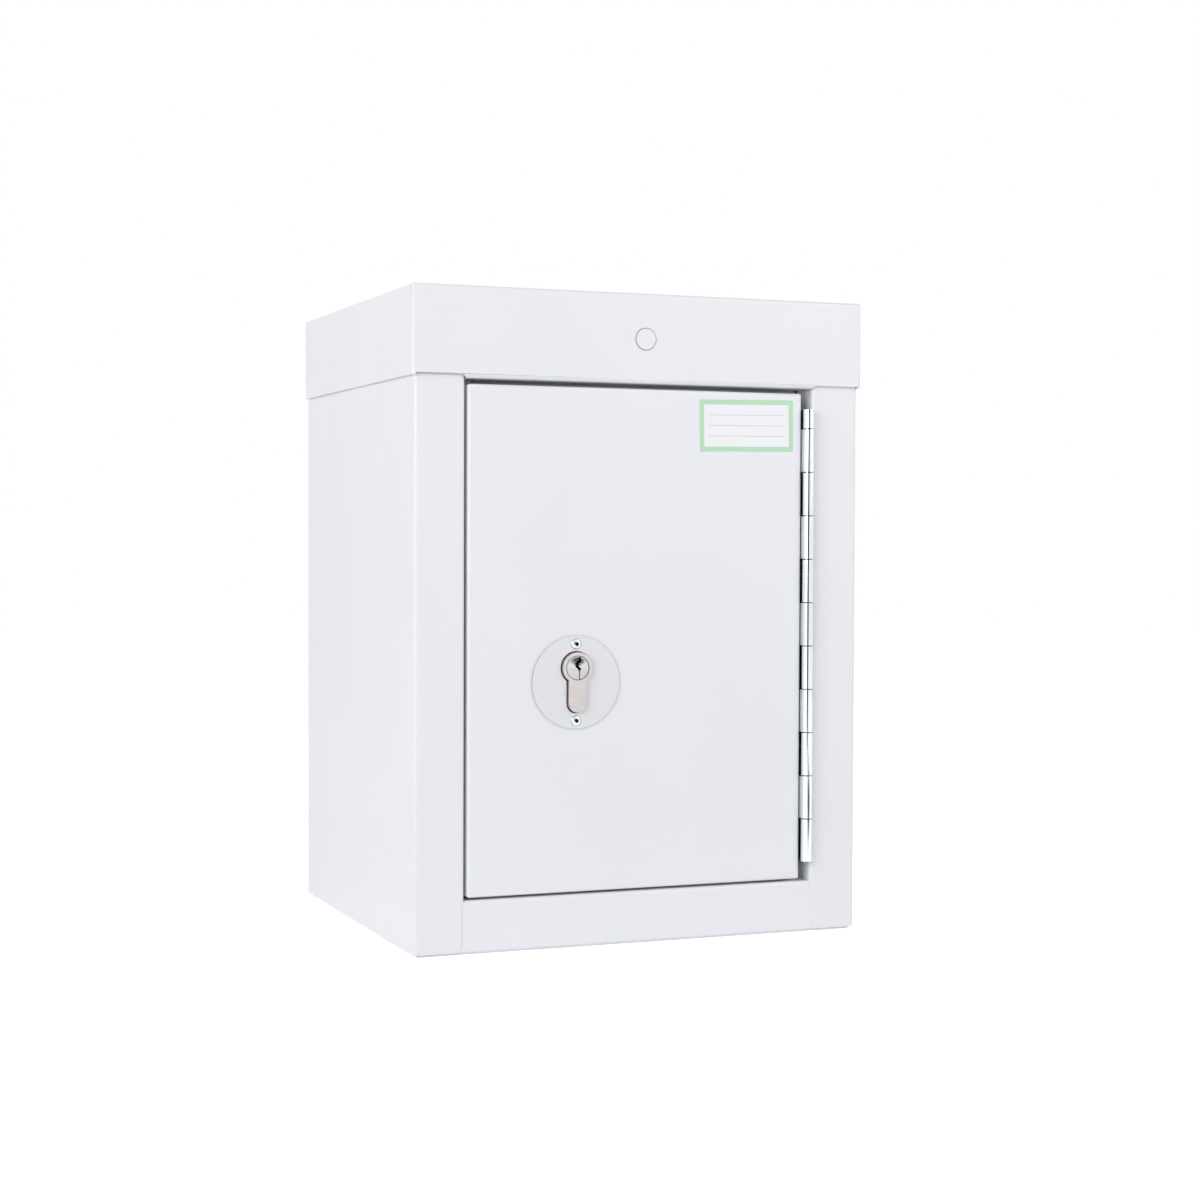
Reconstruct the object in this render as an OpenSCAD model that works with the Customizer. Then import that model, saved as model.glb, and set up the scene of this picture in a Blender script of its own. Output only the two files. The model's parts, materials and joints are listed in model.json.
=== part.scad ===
// Lockable medicine cabinet: a folded steel body under a wrap-over cap, a tray door on a continuous
// hinge, and a profile cylinder that throws a deadbolt behind the door stop.
// Millimetres, +Z up. The cabinet stands on Z = 0, its front faces -Y and its middle is at X = 0.
// Each module works from the front plane of the body at Y = 0; in_frame() moves it to the shared origin.

/* [Body] */
// Width across the two side panels
body_w = 265; // [255:1:330]
// Depth from the front plane to the wall
body_d = 229; // [215:1:300]
// Height over the top cap
body_h = 360; // [345:1:450]
// Thickness of the body and door sheet
sheet_t = 1.5; // [1.2:0.1:1.6]
// Outer radius of every fold in that sheet
fold_r = 2.2; // [2:0.1:2.6]
// Width of each upright stile
stile_w = 28.5; // [24:0.5:32]
// Height of the rail under the door
rail_h = 29; // [24:0.5:34]
// How far the rail stands back from the stiles
rail_setback = 0.6; // [0.2:0.1:1]
// Height of the header from the opening to the top
header_h = 49.6; // [46:0.2:60]
// Width of the lip that stops the door's free edge
stop_w = 9.5; // [8:0.5:11]
// Height of the lips that stop the door's top and bottom edges
stop_lip_h = 8; // [6:0.5:12]
// Lift of the side panels above the underside of the floor
side_lift = 1.2; // [0.6:0.1:1.2]
// Radius of each stile's lower inner corner
stile_corner_r = 4; // [2:0.5:6]
// Height of the welding flanges inside the body
flange_h = 10; // [8:0.5:14]
// Clearance between sheets that pass each other
sheet_gap = 0.3; // [0.2:0.05:0.4]

/* [Top cap] */
// Distance from the opening's top up to the front skirt's lower edge, over the stiles
cap_front_rise = 2.1; // [1.8:0.1:4]
// How much lower the cap's side skirts reach
cap_side_drop = 1; // [0:0.1:1.5]
// Depth of the return under the header, from the front plane
cap_return_d = 34; // [32:1:45]
// Distance from the opening's edges in to the cap's screws
cap_screw_inset = 24; // [14:1:40]
// Diameter of the blanking plug's head
blank_d = 12.5; // [10:0.5:20]
// How far the blanking plug's head overlaps its hole
blank_rim = 0.4; // [0.3:0.1:1]
// Thickness of the blanking plug's head
blank_t = 0.4; // [0.3:0.1:1]
// Distance from the top of the cap down to the blanking plug
blank_drop = 25.2; // [18:0.2:30]

/* [Shelf] */
// Height of the shelf's underside
shelf_z = 165; // [130:1:190]
// Thickness of the shelf and of its angles
shelf_t = 1.2; // [1:0.1:1.5]
// Leg of the shelf angles
angle_leg = 15; // [10:1:20]
// Distance from the front plane to the shelf's front edge
shelf_front = 50; // [45:1:80]
// Depth of the lips under the shelf
shelf_lip = 12; // [8:1:14]
// Gap between the shelf and each side panel
shelf_side_gap = 2; // [2:0.5:5]
// Gap between the shelf and the back panel
shelf_rear_gap = 1.5; // [1:0.5:8]

/* [Door] */
// Depth of the door tray
door_t = 18; // [16:0.5:20]
// Gap at the free edge
door_gap_side = 1.7; // [1.4:0.1:2.4]
// Gap over the door
door_gap_top = 2.8; // [2:0.1:4]
// Gap under the door
door_gap_bottom = 1.4; // [1:0.1:3]
// Radius of the tray's welded corners
door_corner_r = 2; // [1.6:0.1:3]
// Gap between the closed door and the stop
stop_gap = 1; // [0.6:0.1:2]
// Thickness of the inner pan
pan_t = 1; // [0.8:0.1:1.2]

/* [Hinge] */
// Outer diameter of the knuckles
knuckle_d = 6.6; // [6.2:0.1:7.4]
// Diameter of the hinge pin
pin_d = 3.5; // [3:0.1:3.6]
// Length of one knuckle with its gap
knuckle_pitch = 24.7; // [20:0.1:30]
// Gap between knuckles
knuckle_gap = 0.4; // [0.3:0.05:0.8]
// Thickness of the leaves
leaf_t = 1.5; // [1.2:0.1:1.5]
// Depth of the leaves behind the front plane
leaf_d = 15; // [10:0.5:15.5]
// Distance of the pin's axis in front of the front plane
hinge_proud = 2; // [1.6:0.1:2.4]
// Distance from the opening's bottom to the hinge
hinge_margin_bottom = 11.7; // [6:0.1:30]
// Distance from the hinge to the opening's top
hinge_margin_top = 11.9; // [6:0.1:30]

/* [Lock front] */
// Distance from the door's free edge to the cylinder's axis
backset = 62.1; // [60:0.1:70]
// Height of the cylinder's axis
lock_z = 154; // [150:1:170]
// Diameter of the round plate
plate_d = 51; // [48:0.5:60]
// Thickness of the round plate
plate_t = 1; // [0.8:0.1:1.5]
// Distance from the cylinder's axis down to the plate's centre
plate_drop = 8; // [7:0.1:9]
// Distance between the two rivets of the plate
rivet_spacing = 42.1; // [41:0.1:43]
// Width of the label
label_w = 58; // [40:1:80]
// Height of the label
label_h = 29; // [20:0.5:40]
// Distance from the door's hinged edge to the label
label_edge = 5.9; // [5:0.1:30]
// Distance from the door's top edge to the label's centre
label_drop = 19; // [17:0.5:60]
// Turn of the label as stuck on, anticlockwise seen from the front
label_turn = 0.9; // [-2:0.1:2]
// Thickness of the label
label_t = 0.2; // [0.1:0.05:0.3]
// Diameter of the plate's rivets
rivet_d = 3.2; // [2.4:0.1:4]
// Diameter of the rivets' domed heads
rivet_head_d = 6; // [5.6:0.1:7]
// Height of the rivets' domed heads
rivet_head_h = 1.2; // [0.8:0.1:1.6]

/* [Cylinder] */
// Diameter of the profile's round head
cyl_head_d = 17; // [16.8:0.1:17.2]
// Width of the profile's web
cyl_web_w = 10; // [9.6:0.1:10.2]
// Height of the whole profile
cyl_h = 33; // [32:0.1:33.4]
// How far the cylinder stands out of the plate
cyl_proud = 2.5; // [1:0.1:4]
// Length of the block in front of the cam
cyl_front_len = 25; // [24:0.5:27]
// Width of the slot that the cam turns in
cam_slot = 10; // [9:0.1:10.5]
// Length of the block behind the cam
cyl_rear_len = 5; // [4:0.5:7]
// Diameter of the turning plug
plug_d = 13.4; // [13:0.1:13.6]
// Depth of the dish in the plug's face
plug_dish = 0.5; // [0.3:0.1:0.8]
// Width of the winding keyway
keyway_w = 1.4; // [1.2:0.1:1.5]
// Width of the slit from the keyway down to the plug's rim
keyway_slit_w = 0.5; // [0.4:0.1:0.7]
// Number of pin chambers
pin_count = 5; // [4:1:5]
// Distance between pin chambers
pin_pitch = 3.9; // [3.6:0.1:4]
// Diameter of the pins
pin_body_d = 2.8; // [2.4:0.1:3]
// Radius that the tip of the cam reaches
cam_reach = 15.2; // [14.6:0.1:15.4]
// Width of the cam's arm
cam_arm_w = 8; // [7:0.1:8.4]

/* [Bolt and case] */
// Travel of the bolt
bolt_throw = 15; // [13:0.5:15.5]
// Height of the bolt
bolt_h = 18; // [17:0.5:20]
// Thickness of the bolt
bolt_t = 7; // [6:0.5:8]
// Gap between the bolt and the turning cylinder head below it
bolt_clear = 0.8; // [0.5:0.1:1.2]
// Thickness of the bolt's tail behind the cam's notch
bolt_tail = 3.2; // [2.4:0.1:4]
// Distance from the door's free edge to the lock case
case_edge = 14.3; // [14.3:0.1:18]
// Gap between the drawn-back bolt and the end wall of the lock case
case_end_gap = 3; // [2:0.5:20]
// Clear height over the bolt inside the lock case
case_head_gap = 10.2; // [7.5:0.1:25]
// Distance from the cylinder's axis down to the underside of the lock case
case_drop = 36; // [33:0.5:44]
// Clear depth inside the lock case
case_room = 13.5; // [13:0.5:16]
// Height of the case's fixing ears
ear_h = 10; // [9:0.5:14]
// Distance between the two screws of the keep
keep_screw_pitch = 50; // [46:1:54]
// Distance from the stile's return to the keep's screws
keep_screw_inset = 4; // [3.5:0.5:5]
// Diameter of the keep's screws
keep_screw_d = 3.5; // [3:0.1:4]
// Clearance around the bolt in the keep
keep_gap = 0.8; // [0.5:0.1:1.2]

/* [Wall fixing] */
// Diameter of the wall-fixing holes
wall_hole_d = 8; // [6:0.5:12]
// Spacing of the wall-fixing holes across
wall_hole_x = 180; // [100:1:200]
// Spacing of the wall-fixing holes up and down
wall_hole_z = 210; // [120:1:230]
// Height of the lower wall-fixing holes
wall_hole_low = 60; // [40:1:80]

/* [Fits] */
// Radial clearance of a pin that turns in its bore
running_fit = 0.05; // [0.02:0.01:0.1]
// Clearance around parts that slide or pass through
slide_gap = 0.3; // [0.2:0.05:0.4]
// Clearance of the cut-outs for the cylinder
profile_gap = 0.6; // [0.3:0.1:1]

/* [Hidden] */
$fn = 48;

// Past both faces of what a cut goes through
over = 1;

// Quarter turn of the key, which throws the bolt
key_turn = 90;

// Colours of the finishes
paint = "#e6e8ee";
plate_white = "#dcdce0";
label_white = "#f3f3f6";
zinc = "#b9bdc0";
nickel = "#a9a69c";
steel = "#8d9196";
brass = "#b59a5a";

// Main places of the body
side_x = body_w / 2;
inner_x = side_x - sheet_t;
open_x = side_x - stile_w;
open_top = body_h - header_h;
return_d = door_t + stop_gap + sheet_t;
stop_y = return_d - sheet_t;
panel_top = body_h - sheet_t - sheet_gap;
back_in = body_d - sheet_t;
flange_end = back_in - flange_h;
ceiling_z = open_top + sheet_t;
side_fold_y = flange_end - sheet_gap;

// Width of the notch where the rail meets a stile
notch_x = open_x + sheet_t;

// Main places of the cap
cap_x = side_x + sheet_gap + sheet_t;
cap_y = -sheet_gap - sheet_t;
cap_front_z = open_top + cap_front_rise;
cap_side_z = cap_front_z - cap_side_drop;
cap_tongue_x = open_x - 2 * sheet_gap;
cap_screw_x = open_x - cap_screw_inset;
cap_screw_front_y = (return_d + cap_return_d) / 2 + sheet_gap;
cap_foot_d = 14;
strip_end_gap = 1.2;
cap_screw_rear_y = back_in - sheet_t - cap_foot_d / 2;
foot_top = ceiling_z + 2 * sheet_t;
blank_r = blank_d / 2 - blank_rim;
blank_z = body_h - blank_drop;
blank_snap = 3;

// Inner radius of the folds in the shelf and its angles
shelf_bend = 0.6;

// Hinge: the axis stands in the gap between door and stile
hinge_x = open_x - knuckle_d / 2;
hinge_y = -hinge_proud;
hinge_z = rail_h + hinge_margin_bottom;
hinge_len = open_top - hinge_margin_top - hinge_z;
short_end = 3;
knuckle_count = ceil((hinge_len - short_end) / knuckle_pitch);

// Door
door_x0 = -open_x + door_gap_side;
door_x1 = open_x - knuckle_d;
door_z0 = rail_h + door_gap_bottom;
door_z1 = open_top - door_gap_top;

label_corner_r = 0.8;

// Tail of a blind rivet: its swelled length, its straight end, the swelling and the hollow's radius
rivet_tail = 2.4;
rivet_end = 0.6;
rivet_swell = 0.8;
mandrel_r = 1;

// Lock cylinder
lock_x = door_x0 + backset;
face_y = -plate_t - cyl_proud;
slot_y = face_y + cyl_front_len;
cam_y = slot_y + cam_slot / 2;
rear_y = slot_y + cam_slot;
cyl_end_y = rear_y + cyl_rear_len;
web_bottom = lock_z + cyl_head_d / 2 - cyl_h;
bridge_gap = 0.7;
bridge_top = lock_z - cam_reach - bridge_gap;
fixing_z = (bridge_top + web_bottom) / 2;
fixing_d = 5;
fixing_head = [8.6, 2.2];
plug_recess = 0.2;
first_pin = 6;
keyway_end = 2;
keyway_line = [[0.4, 5.6], [1.3, 5.1], [1.3, 3.6], [-0.3, 2.6], [-0.4, 0.8], [1.3, -0.6], [0.9, -1.6]];
keyway_notch = [[1.3, 3.2], [3.4, 3.1]];
dish_r = plug_d / 2 - 0.9;
// Engraved line on the plug: its height, its length over the dish and its width
index_mark = [-0.6, 2.4, 0.3];
index_depth = plug_dish - 0.1;
pin_room = 0.1;
cam_inset = 0.4;
neck_d = 9.8;
neck_flat = 7;
journal_d = 8;
journal_out = 2.4;
clip_d = 11;
clip_t = 0.8;
clip_mouth = 3;
clip_y = cyl_end_y + 0.6;
groove_d = journal_d - 1.6;

// Pins, which lie at the shear line as they do with the key in
shear_z = lock_z - plug_d / 2;
shear_gap = 0.3;
driver_len = 4.5;
key_pin_len = 4.2;
key_pin_step = 0.5;
chamber_plug_h = 1.4;
chamber_plug_z = web_bottom + 0.4;
driver_z = shear_z - shear_gap - driver_len;

// Bolt and case
case_x0 = door_x0 + case_edge;
case_z0 = lock_z - case_drop;
case_y = door_t;
case_in_y = case_y + sheet_t;
cover_y = case_in_y + case_room;
bolt_low = lock_z + cyl_head_d / 2 + bolt_clear;
bolt_mid_z = bolt_low + bolt_h / 2;
case_z1 = bolt_low + bolt_h + case_head_gap + sheet_t;
case_corner_r = 2;
case_inner_r = case_corner_r - sheet_t;
ear_corner_r = 3;
bolt_y0 = cam_y - bolt_t / 2;
arm_r = cam_reach - cam_arm_w / 2;
arm_slot_room = 0.6;
arm_slot_w = cam_arm_w + 2 * (arm_r * sin(key_turn / 2) - bolt_throw / 2 + slide_gap) + arm_slot_room;
arm_slot_x = lock_x + bolt_throw / 2 - arm_slot_w / 2;
arm_slot_top = lock_z + cam_reach + arm_slot_room;
bolt_tail_x = arm_slot_x + arm_slot_w + bolt_tail;
case_x1 = bolt_tail_x + case_end_gap + sheet_t;
stud_d = 4;
stud_collar = 1.5;
stud_z = bolt_low + bolt_h - stud_d - 0.5;
slot_r = stud_d / 2 + slide_gap;
slot_wall = 2.4;
stud_inset = 14;
stud_first_x = case_x0 + stud_inset;
stud_x = [stud_first_x, stud_first_x + bolt_throw + 2 * slot_r + slot_wall];
post_d = 6;
post_inset = 5;
post_screw_d = 3;
post_screw_head = [5.5, 1.8];
post_screw_grip = 8;
case_screw_d = 4;
case_screw_head = [7.6, 2.4];
cap_hole_d = case_screw_d + 2 * slide_gap;
ear_screw_inset = 8;
nut_h = 4.5;
nut_d = 7.4;
nut_spigot_d = 5.2;
spring_t = 0.6;
spring_w = bolt_t - 1;
spring_rivet_d = 2.5;
spring_rivet_head = [4.5, 1];
spring_foot = 5;
spring_reach = 13;
spring_nose = [6, 2];
spring_foot_inset = 17;
spring_foot_x = case_x1 - spring_foot_inset;

// Keep
keep_x = -open_x + stop_w;
keep_end = 5;
keep_screw_head = [6, 2];
keep_h = keep_screw_pitch + 2 * keep_end;
keep_screw_x = -open_x + keep_screw_inset;

// The hinge's knuckles stand furthest forward, so they set the middle of the whole depth
front_most = min(hinge_y - knuckle_d / 2, face_y);
centre_y = (front_most + body_d) / 2;

function pin_y(i) = face_y + first_pin + i * pin_pitch;

module in_frame() {
    translate([0, -centre_y, 0]) children();
}

// Extrude an outline drawn in X and Z from y0 to y1
module along_y(y0, y1) {
    translate([0, y1, 0]) rotate([90, 0, 0]) linear_extrude(y1 - y0) children();
}

// Extrude an outline drawn in Y and Z from x0 to x1
module along_x(x0, x1) {
    translate([x0, 0, 0]) rotate([90, 0, 90]) linear_extrude(x1 - x0) children();
}

// Extrude an outline drawn in X and Y from z0 to z1
module along_z(z0, z1) {
    translate([0, 0, z0]) linear_extrude(z1 - z0) children();
}

module box(low, high) {
    translate(low) cube(high - low);
}

// Waste outside a rounded corner at (x, y), where the solid lies towards -sx and -sy
module corner_waste(x, y, sx, sy, r) {
    far = r + over;
    translate([x - sx * r, y - sy * r]) difference() {
        polygon([[0, 0], [sx * far, 0], [sx * far, sy * far], [0, sy * far]]);
        circle(r);
    }
}

// Rectangle with the listed corners rounded, each given as [sx, sy]
module round_rect(low, high, r, corners = [[-1, -1], [1, -1], [1, 1], [-1, 1]]) {
    difference() {
        translate(low) square(high - low);
        for (c = corners)
            corner_waste(c[0] > 0 ? high[0] : low[0], c[1] > 0 ? high[1] : low[1], c[0], c[1], r);
    }
}

function unit(v) = v / norm(v);

// Rectangle between two opposite corners
module rect(p, q) {
    translate([min(p[0], q[0]), min(p[1], q[1])]) square([abs(p[0] - q[0]), abs(p[1] - q[1])]);
}

// Cross-section of a sheet folded at right angles along a line of mid-sheet points
module folded(points, t, r) {
    mid_r = r - t / 2;
    last = len(points) - 1;
    for (i = [0 : last - 1]) {
        d = unit(points[i + 1] - points[i]);
        n = [-d[1], d[0]] * t / 2;
        rect(points[i] + d * (i > 0 ? mid_r : 0) + n, points[i + 1] - d * (i < last - 1 ? mid_r : 0) - n);
    }
    for (i = [1 : last - 1]) {
        d1 = unit(points[i] - points[i - 1]);
        d2 = unit(points[i + 1] - points[i]);
        translate(points[i] - d1 * mid_r + d2 * mid_r) intersection() {
            difference() {
                circle(r);
                circle(r - t);
            }
            rect([0, 0], (d1 - d2) * 2 * r);
        }
    }
}

// Strip of constant thickness along any line of points, with round bends
module strip(points, t) {
    for (i = [0 : len(points) - 2]) {
        d = unit(points[i + 1] - points[i]);
        n = [-d[1], d[0]] * t / 2;
        polygon([points[i] - n, points[i + 1] - n, points[i + 1] + n, points[i] + n]);
    }
    for (p = points) translate(p) circle(d = t);
}

// Half the width of a mitred line at its point i, as a step to the line's left
function mitre(points, i, w) =
    let (a = unit(points[max(i, 1)] - points[max(i, 1) - 1]),
         last = len(points) - 1,
         b = unit(points[min(i + 1, last)] - points[min(i + 1, last) - 1]),
         m = [-a[1] - b[1], a[0] + b[0]])
    m * w / (m * m);

// Line of constant width with square ends and mitred corners
module mitred(points, w) {
    last = len(points) - 1;
    polygon(concat([for (i = [0 : last]) points[i] + mitre(points, i, w)],
                   [for (i = [last : -1 : 0]) points[i] - mitre(points, i, w)]));
}

// Block whose front face has rounded edges and corners, as a folded and welded tray has
module tray_block(low, high, edge_r, corner_r) {
    intersection() {
        along_y(low[1], high[1])
            round_rect([low[0], low[2]], [high[0], high[2]], corner_r);
        along_z(low[2], high[2])
            round_rect([low[0], low[1]], [high[0], high[1]], edge_r, [[-1, -1], [1, -1]]);
        along_x(low[0], high[0])
            round_rect([low[1], low[2]], [high[1], high[2]], edge_r, [[-1, -1], [-1, 1]]);
    }
}

// Cross-recessed screw along +Y from the underside of its head, given as [diameter, height]
module screw(d, length, head) {
    recess_w = head[0] * 0.55;
    recess_t = head[0] * 0.16;
    difference() {
        union() {
            rotate([-90, 0, 0]) cylinder(d = d, h = length);
            rotate([90, 0, 0]) cylinder(d = head[0], h = head[1]);
        }
        for (a = [0, 90])
            translate([0, -head[1], 0]) rotate([0, a, 0])
                cube([recess_w, head[1], recess_t], center = true);
    }
}

// Profile of the cylinder: a round head over a narrower web with a round foot
module euro_profile(gap = 0) {
    foot_z = web_bottom + cyl_web_w / 2;
    translate([lock_x, lock_z]) circle(d = cyl_head_d + 2 * gap);
    translate([lock_x, foot_z]) circle(d = cyl_web_w + 2 * gap);
    translate([lock_x - cyl_web_w / 2 - gap, foot_z]) square([cyl_web_w + 2 * gap, lock_z - foot_z]);
}

// Outline of the rail's end where it meets a stile, mitred at the opening's corner
module rail_end(gap) {
    x = notch_x - gap;
    polygon([
        [-x, -over], [x, -over], [x, rail_h - sheet_t], [open_x - gap, rail_h],
        [open_x - gap, rail_h + over], [-open_x + gap, rail_h + over], [-open_x + gap, rail_h],
        [-x, rail_h - sheet_t]]);
}

// Waste in the stiles: the room for the rail, and each stile's rounded lower corner
module stile_waste() {
    along_y(-over, return_d + over) {
        rail_end(0);
        for (s = [-1, 1]) corner_waste(s * notch_x, side_lift, -s, -1, stile_corner_r);
    }
}

// Side and stile in plan, up to the end of the return; s is -1 for the left panel and 1 for the right
function side_path(s) = [
    [s * (side_x - sheet_t / 2), body_d], [s * (side_x - sheet_t / 2), sheet_t / 2],
    [s * (open_x + sheet_t / 2), sheet_t / 2]];

module left_side_panel() {
    lip_y = return_d - sheet_t / 2;
    path = concat(side_path(-1), [[-open_x - sheet_t / 2, lip_y], [-open_x + stop_w, lip_y]]);
    color(paint) in_frame() difference() {
        along_z(side_lift, panel_top) folded(path, sheet_t, fold_r);
        stile_waste();
        // The lip ends under the header, whose return passes behind the door's top edge
        box([-open_x, stop_y - over, open_top], [inner_x, return_d + over, body_h]);
        for (s = [-1, 1])
            translate([keep_screw_x, stop_y - over, bolt_mid_z + s * keep_screw_pitch / 2])
                rotate([-90, 0, 0]) cylinder(d = keep_screw_d + 2 * running_fit, h = sheet_t + 2 * over);
    }
}

module right_side_panel() {
    path = concat(side_path(1), [[open_x + sheet_t / 2, return_d]]);
    color(paint) in_frame() difference() {
        along_z(side_lift, panel_top) folded(path, sheet_t, fold_r);
        stile_waste();
    }
}

module back_panel() {
    x = inner_x - sheet_t / 2;
    y = body_d - sheet_t / 2;
    color(paint) in_frame() difference() {
        along_z(sheet_t, panel_top)
            folded([[-x, flange_end], [-x, y], [x, y], [x, flange_end]], sheet_t, fold_r);
        for (sx = [-1, 1])
            for (z = [wall_hole_low, wall_hole_low + wall_hole_z])
                translate([sx * wall_hole_x / 2, back_in - over, z])
                    rotate([-90, 0, 0]) cylinder(d = wall_hole_d, h = sheet_t + 2 * over);
    }
}

module base_panel() {
    front = rail_setback + sheet_t / 2;
    back = back_in - sheet_t / 2;
    mid = sheet_t / 2;
    x = inner_x - mid;
    floor_x = inner_x - fold_r;
    lip_y = return_d - mid;
    rail_path = [
        [back, flange_h], [back, mid], [front, mid], [front, rail_h - mid], [lip_y, rail_h - mid],
        [lip_y, rail_h + stop_lip_h]];
    lip_x0 = -open_x + stop_w + sheet_gap;
    color(paint) in_frame() {
        // Floor with the rail across the front
        difference() {
            along_x(-notch_x, notch_x) folded(rail_path, sheet_t, fold_r);
            difference() {
                box([-side_x, -over, sheet_t], [side_x, return_d + over, rail_h + over]);
                along_y(-2 * over, return_d + 2 * over) rail_end(0);
            }
            box([-side_x, stop_y - over, rail_h], [lip_x0, return_d + over, body_h]);
            box([open_x - sheet_gap, stop_y - over, rail_h], [side_x, return_d + over, body_h]);
        }
        // Floor under the stiles, whose front edge starts to fold up
        intersection() {
            along_x(-floor_x, floor_x)
                folded([[back, flange_h], [back, mid], [front, mid], [front, rail_h]], sheet_t, fold_r);
            union() {
                box([-floor_x, -over, -over], [floor_x, rail_setback + fold_r, side_lift]);
                box([-floor_x, rail_setback + fold_r, -over], [floor_x, body_d, rail_h]);
            }
        }
        // Flanges up the sides
        along_y(rail_setback + fold_r, side_fold_y)
            folded([[-x, flange_h], [-x, mid], [x, mid], [x, flange_h]], sheet_t, fold_r);
        // Flares that follow the stiles' rounded corners
        for (s = [-1, 1])
            along_y(rail_setback, rail_setback + sheet_t) intersection() {
                corner_waste(s * notch_x, side_lift, -s, -1, stile_corner_r);
                translate([s > 0 ? notch_x : -notch_x - stile_corner_r, side_lift])
                    square([stile_corner_r, stile_corner_r]);
            }
    }
}

module cap_screw_holes(d, z0, z1, front, rear) {
    for (s = [-1, 1]) {
        if (front)
            translate([s * cap_screw_x, cap_screw_front_y, z0]) cylinder(d = d, h = z1 - z0);
        if (rear)
            translate([s * cap_screw_x, cap_screw_rear_y, z0]) cylinder(d = d, h = z1 - z0);
    }
}

module ceiling_panel() {
    x = inner_x - sheet_t / 2;
    z = ceiling_z + sheet_t / 2;
    top = ceiling_z + flange_h;
    y0 = return_d + sheet_gap;
    color(paint) in_frame() difference() {
        union() {
            along_y(y0, side_fold_y)
                folded([[-x, top], [-x, z], [x, z], [x, top]], sheet_t, fold_r);
            box([-inner_x + fold_r, y0, ceiling_z], [inner_x - fold_r, back_in, ceiling_z + sheet_t]);
        }
        cap_screw_holes(cap_hole_d, ceiling_z - over, ceiling_z + sheet_t + over, true, true);
    }
}

// Solid whose surface is the cap's outside, drawn in by a step to make its inside
module cap_block(step, z0, y1) {
    x = cap_x - step;
    y = cap_y + step;
    z = body_h - step;
    r = fold_r - step;
    intersection() {
        along_y(y, y1) round_rect([-x, z0], [x, z], r, [[-1, 1], [1, 1]]);
        along_z(z0, z) round_rect([-x, y], [x, y1], r, [[-1, -1], [1, -1]]);
        along_x(-x, x) round_rect([y, z0], [y1, z], r, [[-1, 1]]);
    }
}

module top_cap() {
    mid = sheet_t / 2;
    foot_z = ceiling_z + sheet_t + mid;
    foot_x = inner_x - flange_h;
    tail_y = back_in - mid;
    return_path = [[cap_return_d, open_top + mid], [cap_y + mid, open_top + mid],
                   [cap_y + mid, cap_front_z + over]];
    foot_path = [[tail_y - fold_r - over, body_h - mid], [tail_y, body_h - mid], [tail_y, foot_z],
                 [tail_y - cap_foot_d, foot_z]];
    color(paint) in_frame() difference() {
        union() {
            difference() {
                cap_block(0, cap_side_z, body_d);
                cap_block(sheet_t, cap_side_z - over, body_d + over);
                // The front skirt ends a little higher than the side skirts
                box([-cap_x + fold_r, cap_y - over, cap_side_z - over],
                    [cap_x - fold_r, cap_y + sheet_t + over, cap_front_z]);
                // Room for the top plate's rear fold
                box([-foot_x, back_in - fold_r, body_h - sheet_t - over],
                    [foot_x, body_d + over, body_h + over]);
            }
            // Return under the header, mitred beside the stiles
            intersection() {
                along_x(-cap_tongue_x - fold_r, cap_tongue_x + fold_r) folded(return_path, sheet_t, fold_r);
                along_y(cap_y - over, cap_return_d + over) polygon([
                    [-cap_tongue_x, open_top - over], [cap_tongue_x, open_top - over],
                    [cap_tongue_x, open_top], [cap_tongue_x + fold_r + over, cap_front_z + over],
                    [-cap_tongue_x - fold_r - over, cap_front_z + over], [-cap_tongue_x, open_top]]);
                union() {
                    box([-cap_x, cap_y - over, open_top - over], [cap_x, cap_y + sheet_t, body_h]);
                    box([-cap_tongue_x, cap_y - over, open_top - over],
                        [cap_tongue_x, cap_return_d + over, body_h]);
                }
            }
            // Rear fold and the foot that stands on the ceiling
            along_x(-foot_x, foot_x) folded(foot_path, sheet_t, fold_r);
        }
        translate([0, cap_y - over, blank_z])
            rotate([-90, 0, 0]) cylinder(r = blank_r, h = sheet_t + 2 * over);
        cap_screw_holes(cap_hole_d, open_top - over, open_top + sheet_t + over, true, false);
        cap_screw_holes(nut_spigot_d + 2 * running_fit, foot_z - over, foot_z + over, false, true);
    }
}

// Thin pressed plug: a head with a bevelled rim, and a hollow spigot that snaps behind the sheet
module blanking_plug() {
    r = blank_r - running_fit;
    bevel = 0.3;
    snap = sheet_t + slide_gap;
    end = sheet_t + blank_snap;
    floor_y = 0.8;
    color(paint) in_frame() translate([0, cap_y, blank_z]) rotate([-90, 0, 0])
        rotate_extrude() polygon([
            [0, -blank_t], [blank_d / 2 - bevel, -blank_t], [blank_d / 2, -blank_t / 4], [blank_d / 2, 0],
            [r, 0], [r, snap - bevel / 2], [r + bevel, snap + bevel / 2],
            [r - bevel, end], [r - 1 - bevel, end], [r - 1 - bevel, floor_y], [0, floor_y]]);
}

module top_stop_strip() {
    z = open_top - sheet_t / 2;
    y = stop_y + sheet_t / 2;
    color(paint) in_frame() difference() {
        along_x(-open_x + stop_w + strip_end_gap, open_x - sheet_gap - strip_end_gap)
            folded([[cap_return_d, z], [y, z], [y, open_top - stop_lip_h]], sheet_t, fold_r);
        cap_screw_holes(cap_hole_d, z - over, z + over, true, false);
    }
}

// Screws that stand up from below, at the cap's front return and at its rear foot
module cap_screws() {
    color(zinc) in_frame() for (s = [-1, 1]) {
        translate([s * cap_screw_x, cap_screw_front_y, open_top - sheet_t])
            rotate([90, 0, 0]) screw(case_screw_d, 3 * sheet_t + nut_h + 1, case_screw_head);
        translate([s * cap_screw_x, cap_screw_rear_y, ceiling_z])
            rotate([90, 0, 0]) screw(case_screw_d, 2 * sheet_t + nut_h + 1, case_screw_head);
    }
}

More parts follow.
